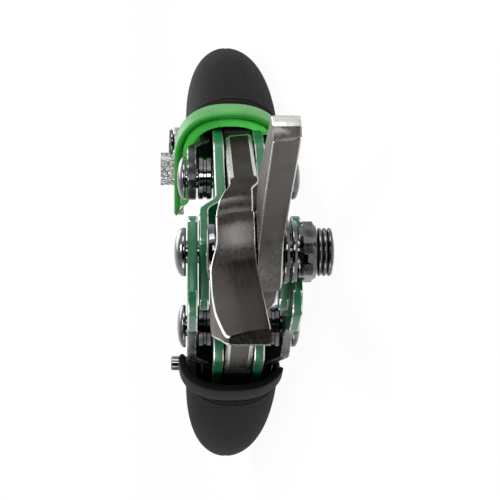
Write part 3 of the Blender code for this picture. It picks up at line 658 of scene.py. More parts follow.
@dataclass(frozen=True)
class Linkage:
    """The pivots of the tool and the frames of its handles and jaws in the open pose."""

    joints: dict[str, dict]
    tang_length: float = 47.0
    bolt_to_hinge: float = 12.5
    jaw_opening: float = math.radians(14.0)
    rivet_offset: float = 5.05

    @property
    def jaw_closed(self) -> float:
        """Angle of a tang to the tool's middle line when closed."""
        return math.asin(self.rivet_offset / self.tang_length)

    @property
    def handle_arm(self) -> float:
        """Distance from the handle hinge to a jaw's rivet.

        Returns:
            The distance, from the rivet's place in the open tool.
        """
        angle = self.jaw_closed + self.jaw_opening
        across = self.tang_length * math.sin(angle)
        return math.hypot(across, self.tang_length * math.cos(angle) - self.bolt_to_hinge)

    @property
    def handle_opening(self) -> float:
        """How far each handle is turned out in the open pose."""
        across = self.tang_length * math.sin(self.jaw_closed + self.jaw_opening)
        return math.asin(across / self.handle_arm) - math.asin(self.rivet_offset / self.handle_arm)

    @property
    def rivet_along_handle(self) -> float:
        """Distance of the jaw rivet along a closed handle."""
        return math.sqrt(self.handle_arm**2 - self.rivet_offset**2)

    @property
    def rivet_along_jaw(self) -> float:
        """Distance of the jaw rivet along a closed jaw."""
        return self.tang_length * math.cos(self.jaw_closed)

    def frame(self, joint: str, angle: float = 0.0, shift: Point = (0.0, 0.0, 0.0)) -> Matrix:
        """Give the frame of a closed piece on a joint.

        Args:
            joint: The joint's name in the record.
            angle: How far the piece is turned from its closed place.
            shift: Where the piece's own origin lies from the joint, in millimetres.

        Returns:
            Its placement in the open pose.
        """
        axis = Vector(self.joints[joint]["axis"]).normalized()
        along = Vector((0.0, axis.z, -axis.y))
        basis = Matrix(((1.0, 0.0, 0.0), tuple(along), tuple(axis))).transposed().to_4x4()
        spot = Matrix.Translation(Vector(self.joints[joint]["pos_m"]))
        return spot @ basis @ Matrix.Rotation(angle, 4, "Z") @ Matrix.Translation(Vector(shift) * MM)

    def handle(self, side: Side) -> Matrix:
        """Frame of a handle, with the handle hinge at its origin."""
        return self.frame("handle_hinge", -side.value * self.handle_opening)

    def jaw(self, edge: Side) -> Matrix:
        """Frame of a jaw, with the main bolt at its origin.

        Args:
            edge: The side of its cutting edge.

        Returns:
            Its placement in the open pose.
        """
        shift = (-edge.value * self.rivet_offset, -self.rivet_along_jaw, 0.0)
        name = "lower_jaw_hinge" if edge is Side.UPPER else "upper_jaw_hinge"
        return self.frame(name, -edge.value * self.jaw_opening, shift)

    def seat(self, side: Side, slot: str, *nodes: str) -> Seat:
        """Seat of a piece on a handle."""
        return Seat(self.handle(side), side.body, slot, nodes)

    def tool(self) -> Matrix:
        """Frame of the whole tool, with the main bolt at its origin."""
        return self.frame("handle_hinge", 0.0, (0.0, -self.bolt_to_hinge, 0.0))


@dataclass(frozen=True)
class Stack:
    """Heights of the layers from the tool's middle plane outwards."""

    inner: float = 3.3
    inner_plate: float = 2.3
    spacer: float = 5.9
    spacer_height: float = 3.1
    lever: float = 7.0
    outer: float = 9.3
    outer_plate: float = 2.0
    grip_layer: float = 6.0

    @property
    def head(self) -> float:
        """Where the rivets' heads start."""
        return self.outer + self.outer_plate + 0.3


@dataclass(frozen=True)
class Jaw:
    """One jaw: a forged blade with a ground edge, a round hub and a tang hung on its handle."""

    name: str
    edge: Side
    link: Linkage
    finish: Finish
    shear: float
    tip_face: float
    blade_face: float
    hub_face: float
    shoulder: float
    bevel: float
    length: float = 64.0
    overlap: float = 1.0
    tip_height: float = 1.8
    heel: float = 10.2
    rake: float = 0.052
    hub: float = 8.0
    neck: float = 3.8
    neck_width: float = 6.6
    tang_width: float = 14.0
    tang_tail: float = 8.3
    tang: float = 3.0
    corner_break: float = 0.6
    blade_edges: Station = (0.25, 0.8, 0.3, 0.4, 0.3)
    tang_edges: Station = (0.9, 0.5, 1.1, 1.0, 0.9)
    ground_highlight_tip: float = 0.955
    ground_highlight_tail: float = 0.45
    end_round: float = 0.25
    row_step: float = 1.4

    def chord(self, y: float) -> float:
        """Half the hub's width at a distance from the bolt."""
        return math.sqrt(max(self.hub**2 - y * y, 0.0))

    def stations(self) -> list[Station]:
        """Lay out the jaw from its tip to its tang.

        Returns:
            Rows of (y, back, edge, shear face, outer face, bevel).
        """
        tang = math.copysign(self.tang, self.hub_face)
        swell = self.blade_face - self.tip_face
        outline = (
            (1.0, self.tip_height, 0.0, 0.5),
            (0.96, self.shoulder, 0.25, 0.7),
            (0.85, self.shoulder + 0.12 * self.heel, 0.55, 0.8),
            (0.65, 0.5 * (self.shoulder + self.heel), 0.9, 0.9),
            (0.4, 0.92 * self.heel, 1.0, 1.0),
        )
        rows: list[Station] = []
        for share, height, fullness, ground in outline:
            face = self.tip_face + fullness * swell
            rows.append((-share * self.length, -height, self.overlap, self.shear, face, ground * self.bevel))
        heel = (-1.5 * self.hub, -self.heel, self.overlap + 0.9)
        rows.append((*heel, self.shear, self.blade_face, self.bevel))
        middle = 0.5 * (self.blade_face + self.hub_face)
        rows.append((-self.hub, -0.97 * self.heel, 0.42 * self.hub, self.shear, middle, 0.8 * self.bevel))
        for share, ground in ((-0.7, 0.7), (-0.3, 0.6), (0.0, 0.5), (0.35, 0.4), (0.7, 0.3)):
            y = share * self.hub
            back = -max(self.chord(y), 0.95 * self.heel * max(-share, 0.0))
            front = self.chord(y) if share > -0.5 else 0.66 * self.hub
            drop = max(ground * self.bevel, self.corner_break)
            rows.append((y, back, front, self.shear, self.hub_face, drop))
        return rows + self.tang_stations(tang)

    def tang_stations(self, tang: float) -> list[Station]:
        """Lay out the neck, which bends back to the middle plane, and the tang behind it.

        Args:
            tang: Height of the tang's outer face.

        Returns:
            Rows as in stations.
        """
        outer = self.neck + self.neck_width
        jog = math.hypot(self.hub, self.neck)
        late = 0.88 * self.hub
        step = self.hub_face - tang
        end = self.link.rivet_along_jaw
        bend = 0.5 * (self.shear - tang)
        rows = [
            (late, -self.chord(late), outer - 1.4, self.shear, self.hub_face - 0.2 * step),
            (self.hub + 0.4, self.neck, outer - 0.6, self.shear, self.hub_face - 0.4 * step),
            (jog + 1.6, self.neck, outer, self.shear, self.hub_face - 0.62 * step),
            (jog + 3.8, self.neck, outer + 0.3, bend, self.hub_face - 0.86 * step),
            (jog + 6.0, self.neck, outer + 0.6, -tang, tang),
            (jog + 8.5, 0.25, outer + 0.9, -tang, tang),
            (0.66 * end, 0.25, 0.86 * self.tang_width, -tang, tang),
            (end, 0.25, 0.97 * self.tang_width, -tang, tang),
            (end + 0.65 * self.tang_tail, 0.25, self.tang_width, -tang, tang),
            (end + self.tang_tail, 1.5, self.tang_width - 1.2, -tang, tang),
        ]
        return [(*row, self.corner_break) for row in rows]

    def build(self) -> None:
        """Loft the jaw with rounded edges that carry the ground finish, painted bright as a highlight."""
        steps = 3
        sections = []
        for y, back, edge, shear, face, drop in smooth_stations(self.stations(), self.row_step):
            ridge = shear + 0.55 * (face - shear)
            corners = ((edge, shear), (edge - 0.3 * drop, ridge), (edge - drop, face))
            corners += ((back, face), (back, shear))
            lift = self.rake * max(-y - 1.5 * self.hub, 0.0)
            radii = self.tang_edges if y > 2.2 * self.hub else self.blade_edges
            points = fillet(corners, radii, steps)
            sections.append([(self.edge.value * x + lift, y, z) for x, z in points])
        starts = [corner * (steps + 1) for corner in (0, 2, 3, 4)]
        # Rounded corners whose faces get the ground finish, painted bright as a highlight
        bright = [j for start in starts for j in range(start, start + steps)]
        back_side = range(4 * steps + 3, 5 * steps + 4)
        tip = -self.ground_highlight_tip * self.length
        tail = self.link.rivet_along_jaw + self.ground_highlight_tail * self.tang_tail

        def paint(k: int, j: int) -> int:
            """Rounded edges, the back of the tip and the tang's end are ground steel with a painted
            highlight.
            """
            y = sections[k][0][1]
            return int(j in bright or y > tail or (y < tip and j in back_side))

        bm = loft(sections, paint)
        rims = [e for face in bm.faces if len(face.verts) > 4 for e in face.edges]
        bmesh.ops.bevel(bm, geom=rims, offset=self.end_round, segments=2, affect="EDGES", material=-1)
        body = "lower_jaw" if self.edge is Side.UPPER else "upper_jaw"
        seat = Seat(self.link.jaw(self.edge), body, "blade_steel", (self.name,))
        place_piece(f"{self.name}_forging", bm, seat, (self.finish, GROUND_AND_HIGHLIGHT_STEEL), sharp=60.0)


@dataclass(frozen=True)
class MainBolt:
    """The bolt that both jaws turn on, with its washers, nut and grooved lock ring."""

    link: Linkage
    radius: float = 3.2
    head_radius: float = 5.4
    head: float = 6.2
    head_height: float = 1.5
    end: float = -16.8
    bore: float = 3.5
    washer_radius: float = 6.2
    washer: float = 1.2
    washer_top: float = -7.0
    nut_top: float = -10.0
    nut_height: float = 3.3
    nut_radius: float = 6.2
    ring_top: float = -13.6
    ring_radius: float = 4.7
    ribs: int = 3
    rib_steps: int = 9
    rib_height: float = 0.55
    layer_gap: float = 0.3
    thread_pitch: float = 0.8
    thread_depth: float = 0.35
    centre_mark: float = 0.35
    mark_radii: Flat = (1.9, 2.2)
    split: float = math.radians(9.0)
    split_at: float = math.radians(135.0)
    split_segments: int = 72
    nut_segments: int = 96
    nut_cone: float = 0.75
    nut_break: float = 0.12
    nut_chamfer: float = 0.25
    washer_round: float = 0.35
    spring_round: float = 0.25
    spring_rise: float = 0.12
    spring_inset: float = 0.1
    rib_fullness: float = 0.6

    def place(self, name: str, bm: Mesh, node: str, sharp: float = SHARP_ANGLE) -> None:
        """Set a plated piece on the bolt, which rides with the lower jaw."""
        seat = Seat(self.link.jaw(Side.UPPER), "lower_jaw", "black_chrome", (node,))
        place_piece(name, bm, seat, (BLACK_CHROME,), sharp)

    def build(self) -> None:
        """Make the bolt and everything on it."""
        self.build_bolt()
        self.build_washers()
        self.build_nut()
        self.build_lock_ring()

    def build_bolt(self) -> None:
        """A low domed head, the shank, and an end with rolled threads round a centre mark."""
        top = self.head + self.head_height
        floor = top - self.centre_mark
        mark, brim = self.mark_radii
        profile = [(NEAR_AXIS, floor), (mark, floor), (brim, top), (self.head_radius - 0.7, top)]
        profile += [(self.head_radius - 0.2, top - 0.2), (self.head_radius, top - 0.6)]
        profile.append((self.head_radius, self.head))
        profile.append((self.radius, self.head))
        pitch = self.thread_pitch
        z = self.nut_top
        profile.append((self.radius, z))
        while z - pitch > self.end + 0.5:
            profile += [(self.radius, z - 0.1 * pitch), (self.radius - self.thread_depth, z - 0.5 * pitch)]
            z -= pitch
        profile += [(self.radius, z), (self.radius - 0.15, self.end + 0.15), (self.radius - 0.5, self.end)]
        profile += [(1.0, self.end), (NEAR_AXIS, self.end + 0.5)]
        self.place("main_bolt_threaded", turn(profile), "main_bolt", sharp=30.0)

    def build_washers(self) -> None:
        """A flat washer with rolled edges, and a spring washer with its split."""
        low = self.washer_top - self.washer
        corners = ((self.bore, low), (self.washer_radius, low), (self.washer_radius, self.washer_top))
        profile = fillet((*corners, (self.bore, self.washer_top)), (self.washer_round,) * 4)
        self.place("flat_washer_rolled", turn_ring(profile), "flat_washer")
        bottom = low - self.layer_gap - self.washer
        inner, outer = self.bore + self.spring_inset, self.washer_radius - 1.5 * self.spring_inset
        sections = []
        for i in range(self.split_segments + 1):
            share = i / self.split_segments
            angle = self.split_at + self.split + 2 * (math.pi - self.split) * share
            base = bottom + self.spring_rise * (share - 0.5)
            floor, roof = base + self.spring_inset, base + self.washer - self.spring_inset
            box = ((inner, floor), (outer, floor), (outer, roof), (inner, roof))
            c, s = math.cos(angle), math.sin(angle)
            sections.append([(r * c, r * s, z) for r, z in fillet(box, (self.spring_round,) * 4)])
        self.place("spring_washer_split", loft(sections), "spring_washer")

    def build_nut(self) -> None:
        """A hexagon nut whose corners are turned down to a cone at both ends."""
        flat = self.nut_radius * math.cos(math.pi / 6)
        low = self.nut_top - self.nut_height
        rise = ((0.0, 0.0), (self.nut_break, 0.05), (self.nut_cone, 1.0))
        outline = [(low + height, share) for height, share in rise]
        outline += [(self.nut_top - height, share) for height, share in reversed(rise)]
        start = flat - self.nut_chamfer
        rings = []
        for i in range(self.nut_segments):
            angle = 2 * math.pi * i / self.nut_segments
            corner = flat / math.cos((angle % (math.pi / 3)) - math.pi / 6)
            corner = min(corner, self.nut_radius - self.nut_break)
            ring = [(self.bore, self.nut_top), (self.bore, low)]
            ring += [(start + (corner - start) * share, z) for z, share in outline]
            rings.append([(r * math.cos(angle), r * math.sin(angle), z) for r, z in ring])
        self.place("main_nut_chamfered", loft_round(rings), "main_nut", sharp=24.0)

    def build_lock_ring(self) -> None:
        """A turned ring with three rounded ribs."""
        bottom = self.end + self.layer_gap
        pitch = (self.ring_top - bottom) / self.ribs
        root = self.ring_radius - self.rib_height
        profile = [(self.bore, self.ring_top), (self.bore, bottom)]
        for i in range(self.ribs):
            start = bottom + i * pitch
            for step in range(self.rib_steps):
                share = step / self.rib_steps
                swell = math.sin(math.pi * share) ** self.rib_fullness
                profile.append((root + self.rib_height * swell, start + share * pitch))
        profile.append((root, self.ring_top))
        self.place("lock_ring_ribbed", turn_ring(profile), "lock_ring", sharp=50.0)


@dataclass(frozen=True)
class Rivet:
    """A rivet through the stack, with a domed head on each side."""

    name: str
    link: Linkage
    side: Side
    centre: Flat
    head_radius: float
    head_height: float
    shank: float = 2.3
    rim: float = 0.22
    foot: float = 0.12
    steps: int = 14
    stack: Stack = Stack()

    def dome(self) -> list[Flat]:
        """Draw one head from the axis to its seat.

        Returns:
            Points of (radius, height over the seat).
        """
        rim = self.rim * self.head_height
        rise = self.head_height - rim
        points = [(NEAR_AXIS, self.head_height)]
        for i in range(1, self.steps + 1):
            angle = 0.5 * math.pi * (1 - i / self.steps)
            points.append((self.head_radius * math.cos(angle), rim + rise * math.sin(angle)))
        return [*points, (self.head_radius, self.foot), (self.head_radius - self.foot, 0.0)]

    def build(self) -> None:
        """Turn the rivet in one piece."""
        seat_z = self.stack.head
        top = [(r, seat_z + h) for r, h in self.dome()]
        bottom = [(r, -seat_z - h) for r, h in reversed(self.dome())]
        profile = top + [(self.shank, seat_z), (self.shank, -seat_z)] + bottom
        seat = self.link.seat(self.side, "black_chrome", self.name)
        place_piece(f"{self.name}_domed", turn(profile, self.centre), seat, (BLACK_CHROME,), sharp=50.0)


@dataclass(frozen=True)
class HandlePlates:
    """The plates, spacers and rivet of one handle."""

    side: Side
    link: Linkage
    stack: Stack = Stack()
    midline: float = 0.25
    boss: float = 4.8
    front: float = 5.0
    lever_drop: float = 12.0
    inner_width: float = 13.0
    outer_width: float = 10.2
    cheek_up: float = 7.0
    cheek_down: float = 14.0
    arm_half: float = 4.0
    arm_trim: float = 2.0
    grip_centre: float = 8.8
    collar_inside: float = 47.0
    plate_end: float = 80.0
    edge_radius: float = 0.3
    enamel_end: float = 17.5
    rivet_head: float = 4.7
    rivet_dome: float = 1.9
    spacer_bore: float = 2.6
    spacer_rim: float = 1.1
    spacer_groove: float = 0.3
    lever_plate: float = 2.0
    row_step: float = 1.2

    @property
    def along(self) -> float:
        """Where the jaw's rivet lies along the handle."""
        return self.link.rivet_along_handle

    def arm(self, width: float, z: float, z_grip: float, thickness: float, trim: float) -> list[Station]:
        """Lay out a plate from the jaw's rivet into the grip.

        Args:
            width: Its outer edge at the rivet.
            z: Its lower face at the rivet.
            z_grip: Its lower face in the grip.
            thickness: Its thickness.
            trim: How much narrower it is in the grip.

        Returns:
            Rows of (y, inner x, outer x, low z, high z).
        """
        start = self.grip_centre - self.arm_half
        end = self.grip_centre + self.arm_half - trim
        return [
            (self.along, self.midline, width, z, z + thickness),
            (self.along + self.boss, 0.3 * start, end, z, z + thickness),
            (self.collar_inside, start, end, z_grip, z_grip + thickness),
            (self.plate_end, start, end, z_grip, z_grip + thickness),
        ]

    def inner_arm(self) -> list[Station]:
        """Rows of an inner plate behind its rivet."""
        return self.arm(self.inner_width, self.stack.inner, self.stack.inner, self.stack.inner_plate, 0.0)

    def outer_arm(self) -> list[Station]:
        """Rows of an outer plate, which bends in to enter the grip."""
        stack = self.stack
        return self.arm(self.outer_width, stack.outer, stack.grip_layer, stack.outer_plate, self.arm_trim)

    def boss_front(self, width: float, z: float, thickness: float) -> list[Station]:
        """Lay out the round front end of a plate that stops at the jaw's rivet.

        Args:
            width: Its outer edge at the rivet.
            z: Its lower face.
            thickness: Its thickness.

        Returns:
            Rows as in arm.
        """
        rows = []
        offset = self.link.rivet_offset
        for share in (0.97, 0.8, 0.45):
            half = self.boss * math.sqrt(1 - share * share)
            outer = offset + half + (1 - share) * (width - offset - self.boss)
            rows.append((self.along - share * self.boss, offset - half, outer, z, z + thickness))
        return rows

    def pivot_front(self, up: float, down: float, z: float, thickness: float) -> list[Station]:
        """Lay out the round front end of a plate that turns on the handle rivet.

        Args:
            up: How far it reaches past the middle line.
            down: How far it reaches on its own side.
            z: Its lower face.
            thickness: Its thickness.

        Returns:
            Rows as in arm.
        """
        rows = []
        for share in (1.0, 0.75, 0.35):
            trim = 1 - 0.28 * share**3
            rows.append((-share * self.front, -up * trim, down * trim, z, z + thickness))
        return rows

    def plate(
        self,
        node: str,
        stations: Sequence[Station],
        layer: Layer,
        finishes: Sequence[Finish],
        slot: str,
        tail: float,
    ) -> None:
        """Loft one plate with rounded edges.

        Args:
            node: The CAD node that it stands for.
            stations: Rows of (y, inner x, outer x, low z, high z).
            layer: Which face of the stack it lies on.
            finishes: Face and edge finish, then those of the stretch behind tail.
            slot: The record's material slot.
            tail: Distance along the handle where the second pair of finishes starts.
        """
        rows = smooth_stations(stations, self.row_step)
        r = self.edge_radius
        ends = [(rows[0][0], 0.8 * r), (rows[0][0] + 0.3 * r, 0.25 * r)]
        shaped = [((y, *rows[0][1:]), inset) for y, inset in ends]
        shaped += [(row, 0.0) for row in rows[1:]]
        sections = []
        for (y, x_in, x_out, low, high), inset in shaped:
            corners = ((x_in + inset, low + inset), (x_out - inset, low + inset))
            corners += ((x_out - inset, high - inset), (x_in + inset, high - inset))
            points = fillet(corners, (r,) * 4)
            sections.append([(self.side.value * x, y, layer.value * z) for x, z in points])
        ys = [section[0][1] for section in sections]

        def paint(k: int, j: int) -> int:
            """Rounded edges take the edge finish with its painted highlight, and the rear stretch its own
            pair.
            """
            return (1 if j % 4 < 3 else 0) + (2 if ys[k] > tail else 0)

        seat = self.link.seat(self.side, slot, node)
        place_piece(f"{node}_stamped", loft(sections, paint), seat, finishes, sharp=32.0)

    def build(self) -> None:
        """Make both sides of the handle and its rivet."""
        for layer in Layer:
            if self.side is Side.UPPER:
                self.build_upper(layer)
            else:
                self.build_lower(layer)
            self.build_spacer(layer)
        centre = (self.side.value * self.link.rivet_offset, self.along)
        name = f"{self.side.word}_rivet"
        Rivet(name, self.link, self.side, centre, self.rivet_head, self.rivet_dome).build()

    def build_upper(self, layer: Layer) -> None:
        """Inner lever plate and outer plate of the upper handle.

        Args:
            layer: Which face of the stack it lies on.
        """
        stack = self.stack
        front = self.front
        lever = (stack.lever, stack.lever + self.lever_plate)
        inner = (stack.inner, stack.inner + stack.inner_plate)
        rows = self.pivot_front(self.lever_drop, front, stack.lever, self.lever_plate)
        rows += [
            (front + 1.0, -0.7 * self.lever_drop, 1.4 * front, *lever),
            (front + 6.0, -0.4 * front, 1.7 * front, *inner),
            (0.74 * self.along, self.midline, 2.2 * front, *inner),
        ]
        tag = layer.name.lower()
        green = (GREEN_ENAMEL, GREEN_WEAR_AND_HIGHLIGHT)
        rows += self.inner_arm()
        self.plate(f"upper_inner_plate_{tag}", rows, layer, green, "green_paint", self.plate_end)
        rows = self.boss_front(self.outer_width, stack.outer, stack.outer_plate) + self.outer_arm()
        black = (BLACK_PLATE, BLACK_WEAR_AND_HIGHLIGHT)
        self.plate(f"upper_outer_plate_{tag}", rows, layer, black, "black_plate", self.plate_end)

    def build_lower(self, layer: Layer) -> None:
        """Inner plate of the lower handle and the cheek that carries the handle rivet.

        Args:
            layer: Which face of the stack it lies on.
        """
        stack = self.stack
        tag = layer.name.lower()
        rows = self.boss_front(self.inner_width, stack.inner, stack.inner_plate) + self.inner_arm()
        green = (GREEN_ENAMEL, GREEN_WEAR_AND_HIGHLIGHT)
        self.plate(f"lower_inner_plate_{tag}", rows, layer, green, "green_paint", self.plate_end)
        z = (stack.outer, stack.outer + stack.outer_plate)
        up, down = self.cheek_up, self.cheek_down
        rows = self.pivot_front(up, down, stack.outer, stack.outer_plate)
        rows += [
            (0.4 * self.front, -up, down, *z),
            (1.6 * self.front, -0.86 * up, down, *z),
            (0.38 * self.along, -0.5 * up, 0.9 * down, *z),
            (0.56 * self.along, -0.2 * up, 1.04 * self.outer_width, *z),
            (0.74 * self.along, self.midline, 0.98 * self.outer_width, *z),
        ]
        both = (*green, BLACK_PLATE, BLACK_WEAR_AND_HIGHLIGHT)
        self.plate(f"cheek_{tag}", rows + self.outer_arm(), layer, both, "green_paint", self.enamel_end)

    def build_spacer(self, layer: Layer) -> None:
        """A turned disc with a groove round its middle.

        Args:
            layer: Which face of the stack it lies on.
        """
        low = self.stack.spacer
        high = low + self.stack.spacer_height
        r = self.rivet_head
        rim, cut = self.spacer_rim, self.spacer_groove
        wall = [(r - cut, low), (r, low + cut), (r, low + rim), (r - cut, low + rim + 0.2)]
        profile = [(self.spacer_bore, high), (self.spacer_bore, low), *wall]
        profile += [(radius, low + high - z) for radius, z in reversed(wall)]
        profile = [(radius, layer.value * z) for radius, z in profile]
        node = f"{self.side.word}_spacer_{layer.name.lower()}"
        centre = (self.side.value * self.link.rivet_offset, self.along)
        seat = self.link.seat(self.side, "black_chrome", node)
        place_piece(f"{node}_grooved", turn_ring(profile, centre), seat, (BLACK_CHROME,), sharp=40.0)


@dataclass(frozen=True)
class Grip:
    """A moulded grip with the arched lip at its mouth."""

    side: Side
    link: Linkage
    start: float = 54.0
    end: float = 138.0
    centre: float = 8.8
    bow: float = 1.6
    half_height: float = 8.2
    half_width: float = 10.7
    shift: float = 0.8
    nose_height: float = 52.0
    nose_width: float = 70.0
    squareness: float = 2.05
    cavity_end: float = 81.0
    cavity: Flat = (4.56, 8.8)
    cavity_powers: Flat = (8.0, 7.0)
    mouth_ease: float = 0.4
    lip_drop: float = 0.7
    lip_reach: float = 0.9
    collar_start: float = 45.0
    collar_middle: float = 1.6
    collar_spring: float = 5.4
    collar_top: float = 17.3
    right_end: float = 11.6
    collar_power: float = 2.4
    collar_half: Flat = (14.2, 11.6)
    collar_foot: float = -7.4
    collar_lip: float = 1.4
    liner_gap: float = 0.3
    liner_wall: float = 2.0
    liner_back: float = 1.8
    web_foot: float = 0.5
    web_lap: float = 0.2
    web_corners: tuple[Flat, Flat] = ((4.0, 13.1), (8.3, 11.3))
    web_depths: Flat = (2.2, 0.4)
    rim_half: Flat = (13.2, 10.9)
    rim_foot: float = 8.6
    rim_lip: float = 1.6
    lip_round: float = 0.6
    liner_round: float = 0.4
    bead: float = 0.28
    bead_width: float = 0.55
    beads: Flat = (2.2, 4.6)
    seam: float = 0.12
    seam_stop: float = 4.0
    mouth_step: float = 0.3
    mouth_rows: int = 24
    body_start: float = 7.5
    row_step: float = 1.5
    nose_rows: int = 16
    end_gap: float = 0.05
    tail: float = 16.0
    back_round: float = 0.2
    end_share: float = 0.25
    lip_steps: int = 4
    arch_steps: int = 60
    leg_steps: int = 10
    segments: int = 72

    def section(self, half: Flat, power: float, centre: Flat, y: float, seam: float) -> list[Point]:
        """One rounded cross-section.

        Args:
            half: Half its height and half its width.
            power: 2 for an ellipse, more for a squarer form.
            centre: Its middle in x and z.
            y: Its place along the handle.
            seam: Depth of the mould's parting line.

        Returns:
            Its points.
        """
        ring = []
        for i in range(self.segments):
            angle = 2 * math.pi * i / self.segments
            c, s = math.cos(angle), math.sin(angle)
            pull = seam if i % (self.segments // 2) == 0 else 0.0
            x = (half[0] - pull) * math.copysign(abs(c) ** (2 / power), c)
            z = half[1] * math.copysign(abs(s) ** (2 / power), s)
            ring.append((self.side.value * (centre[0] + x), y, centre[1] + z))
        return ring

    @staticmethod
    def nose(distance: float, length: float) -> float:
        """Share of the full size at a distance from the rounded end."""
        return 1.0 if distance >= length else math.sqrt(max(1 - (1 - distance / length) ** 2, 0.0))

    def stops(self) -> list[float]:
        """Spread the cross-sections along the skin: close at the mouth's beads and at the nose.

        Returns:
            Their places along the handle.
        """
        rows = [self.start + self.end_gap + self.mouth_step * i for i in range(self.mouth_rows)]
        count = int((self.end - self.start) / self.row_step)
        rows += [self.start + self.body_start + self.row_step * i for i in range(count)]
        rows = [y for y in rows if y < self.end - self.tail]
        quarter = 0.5 * math.pi / self.nose_rows
        rows += [self.end - self.tail * math.cos(quarter * i) for i in range(1, self.nose_rows)]
        return [*rows, self.end - self.end_gap]

    def build_grip(self) -> None:
        """Loft the skin from inside the mouth over its beads to the nose."""
        mouth = (self.centre, 0.0)
        full, lip = self.cavity_powers
        inside = (self.cavity_end, self.start + 0.6)
        sections = [self.section(self.cavity, full, mouth, y, 0.0) for y in inside]
        half = (self.cavity[0] + self.mouth_ease, self.cavity[1] + self.mouth_ease)
        sections.append(self.section(half, lip, mouth, self.start, 0.0))
        for y in self.stops():
            near = y - self.start
            bead = self.bead * sum(math.exp(-(((near - spot) / self.bead_width) ** 2)) for spot in self.beads)
            edge = -self.lip_drop * max(0.0, 1 - near / self.lip_reach) ** 2
            left = self.end - y
            share = (y - self.start) / (self.end - self.start)
            middle = (self.centre + self.bow * math.sin(math.pi * share), self.shift)
            half = (
                self.half_height * self.nose(left, self.nose_height) + (bead + edge),
                self.half_width * self.nose(left, self.nose_width) + (bead + edge),
            )
            seam = self.seam if self.body_start - 0.5 < near and left > self.seam_stop else 0.0
            sections.append(self.section(half, self.squareness, middle, y, seam))
        name = f"{self.side.word}_grip"
        seat = self.link.seat(self.side, "grip_rubber", name)
        place_piece(f"{name}_moulded", loft(sections), seat, (GRIP_RUBBER,), sharp=44.0)

    def arch(self, half: Flat, inset: float, foot: float) -> list[Flat]:
        """Points of an arch in (z, x), from the foot of its left leg over the top to its right end.

        Args:
            half: How far it reaches to the left and to the right.
            inset: How far it lies inside that.
            foot: Where its left leg ends.

        Returns:
            Its points.
        """
        left, right = half
        spring = max(self.collar_spring, foot)
        power = 2 / self.collar_power
        rise = self.collar_top - spring - inset
        stop = math.asin(min(1.0, ((self.right_end - spring) / rise) ** (1 / power)))
        points = []
        for i in range(self.leg_steps):
            points.append((left - inset, foot + (spring - foot) * i / self.leg_steps))
        for i in range(self.arch_steps + 1):
            angle = (math.pi - stop) * i / self.arch_steps
            first = angle <= 0.5 * math.pi
            reach = (left - inset if first else inset - right) - self.collar_middle
            across = reach * abs(math.cos(angle)) ** power
            points.append((self.collar_middle + across, spring + rise * math.sin(angle) ** power))
        return points if foot < spring else points[self.leg_steps :]

    def sweep_arch(
        self,
        node: str,
        outer: Sequence[Flat],
        inner: Sequence[Flat],
        front: float,
        look: tuple[Finish, Finish, float],
        slot: str,
    ) -> None:
        """Sweep a rounded lip along an arch.

        Args:
            node: The CAD node that it stands for.
            outer: The arch's outer curve.
            inner: Its inner curve.
            front: Where its front edge lies along the handle.
            look: Face and edge finishes, and the radius of its edges.
            slot: The record's material slot.
        """
        back = self.start - 0.3
        finish, edge_finish, radius = look
        radii = (radius, radius, self.back_round, self.back_round)
        sections = []
        last = len(outer) - 1
        for k, (far, near) in enumerate(zip(outer, inner)):
            wall = Vector(near) - Vector(far)
            inset = self.end_share * wall.length if k in (0, last) else 0.0
            corners = ((inset, front + inset), (wall.length - inset, front + inset))
            corners += ((wall.length - inset, back - inset), (inset, back - inset))
            ring = []
            for depth, y in fillet(corners, radii, self.lip_steps):
                spot = Vector(far) + wall.normalized() * depth
                ring.append((self.side.value * spot.y, y, spot.x))
            sections.append(ring)

        def paint(_k: int, j: int) -> int:
            """The rounded front edge on the outside has the edge finish."""
            return int(j < self.lip_steps)

        seat = self.link.seat(self.side, slot, node)
        place_piece(f"{node}_swept", loft(sections, paint), seat, (finish, edge_finish), sharp=44.0)

    def build_web(self, inner: Sequence[Flat]) -> None:
        """Close the collar behind the plates with a thin wall beside them, in the liner's paler lime that
        paints a glow.

        Args:
            inner: The inner curve of the collar's liner, in (z, x).
        """
        (low, _), (high, _) = self.web_corners
        wall = [(z + self.web_lap, x) for z, x in inner if x > self.web_foot and z > low]
        outline = [(wall[0][0], self.web_foot), *wall, *self.web_corners, (high, self.web_foot)]
        sections = [[(x, self.start - depth, z) for z, x in outline] for depth in self.web_depths]
        seat = self.link.seat(self.side, "lime_plastic")
        place_piece("collar_web_moulded", loft(sections), seat, (LIME_LINER_PAINTED_GLOW,))

    def build(self) -> None:
        """Make the grip and the lips of its mouth."""
        self.build_grip()
        if self.side is Side.UPPER:
            self.build_collar()
        else:
            outer = self.arch(self.rim_half, 0.0, self.rim_foot)
            inner = self.arch(self.rim_half, self.rim_lip, self.rim_foot)
            look = (RIM_RUBBER, RIM_RUBBER, self.lip_round)
            self.sweep_arch("lower_grip_rim", outer, inner, self.collar_start, look, "grip_rubber")

    def build_collar(self) -> None:
        """Make the lime collar, the liner inside it painted brighter as a glow, and the wall beside the
        plates.
        """
        half, foot, lip = self.collar_half, self.collar_foot, self.collar_lip
        outer = self.arch(half, 0.0, foot)
        inner = self.arch(half, lip, foot + lip)
        look = (LIME_PLASTIC, LIME_EDGE, self.lip_round)
        self.sweep_arch("grip_collar", outer, inner, self.collar_start, look, "lime_plastic")
        groove = lip + self.liner_gap
        outer = self.arch(half, groove, foot + groove)
        inner = self.arch(half, groove + self.liner_wall, foot + 2 * groove)
        look = (LIME_LINER_PAINTED_GLOW, LIME_LINER_PAINTED_GLOW, self.liner_round)
        front = self.collar_start + self.liner_back
        self.sweep_arch("collar_liner", outer, inner, front, look, "lime_plastic")
        self.build_web(inner)


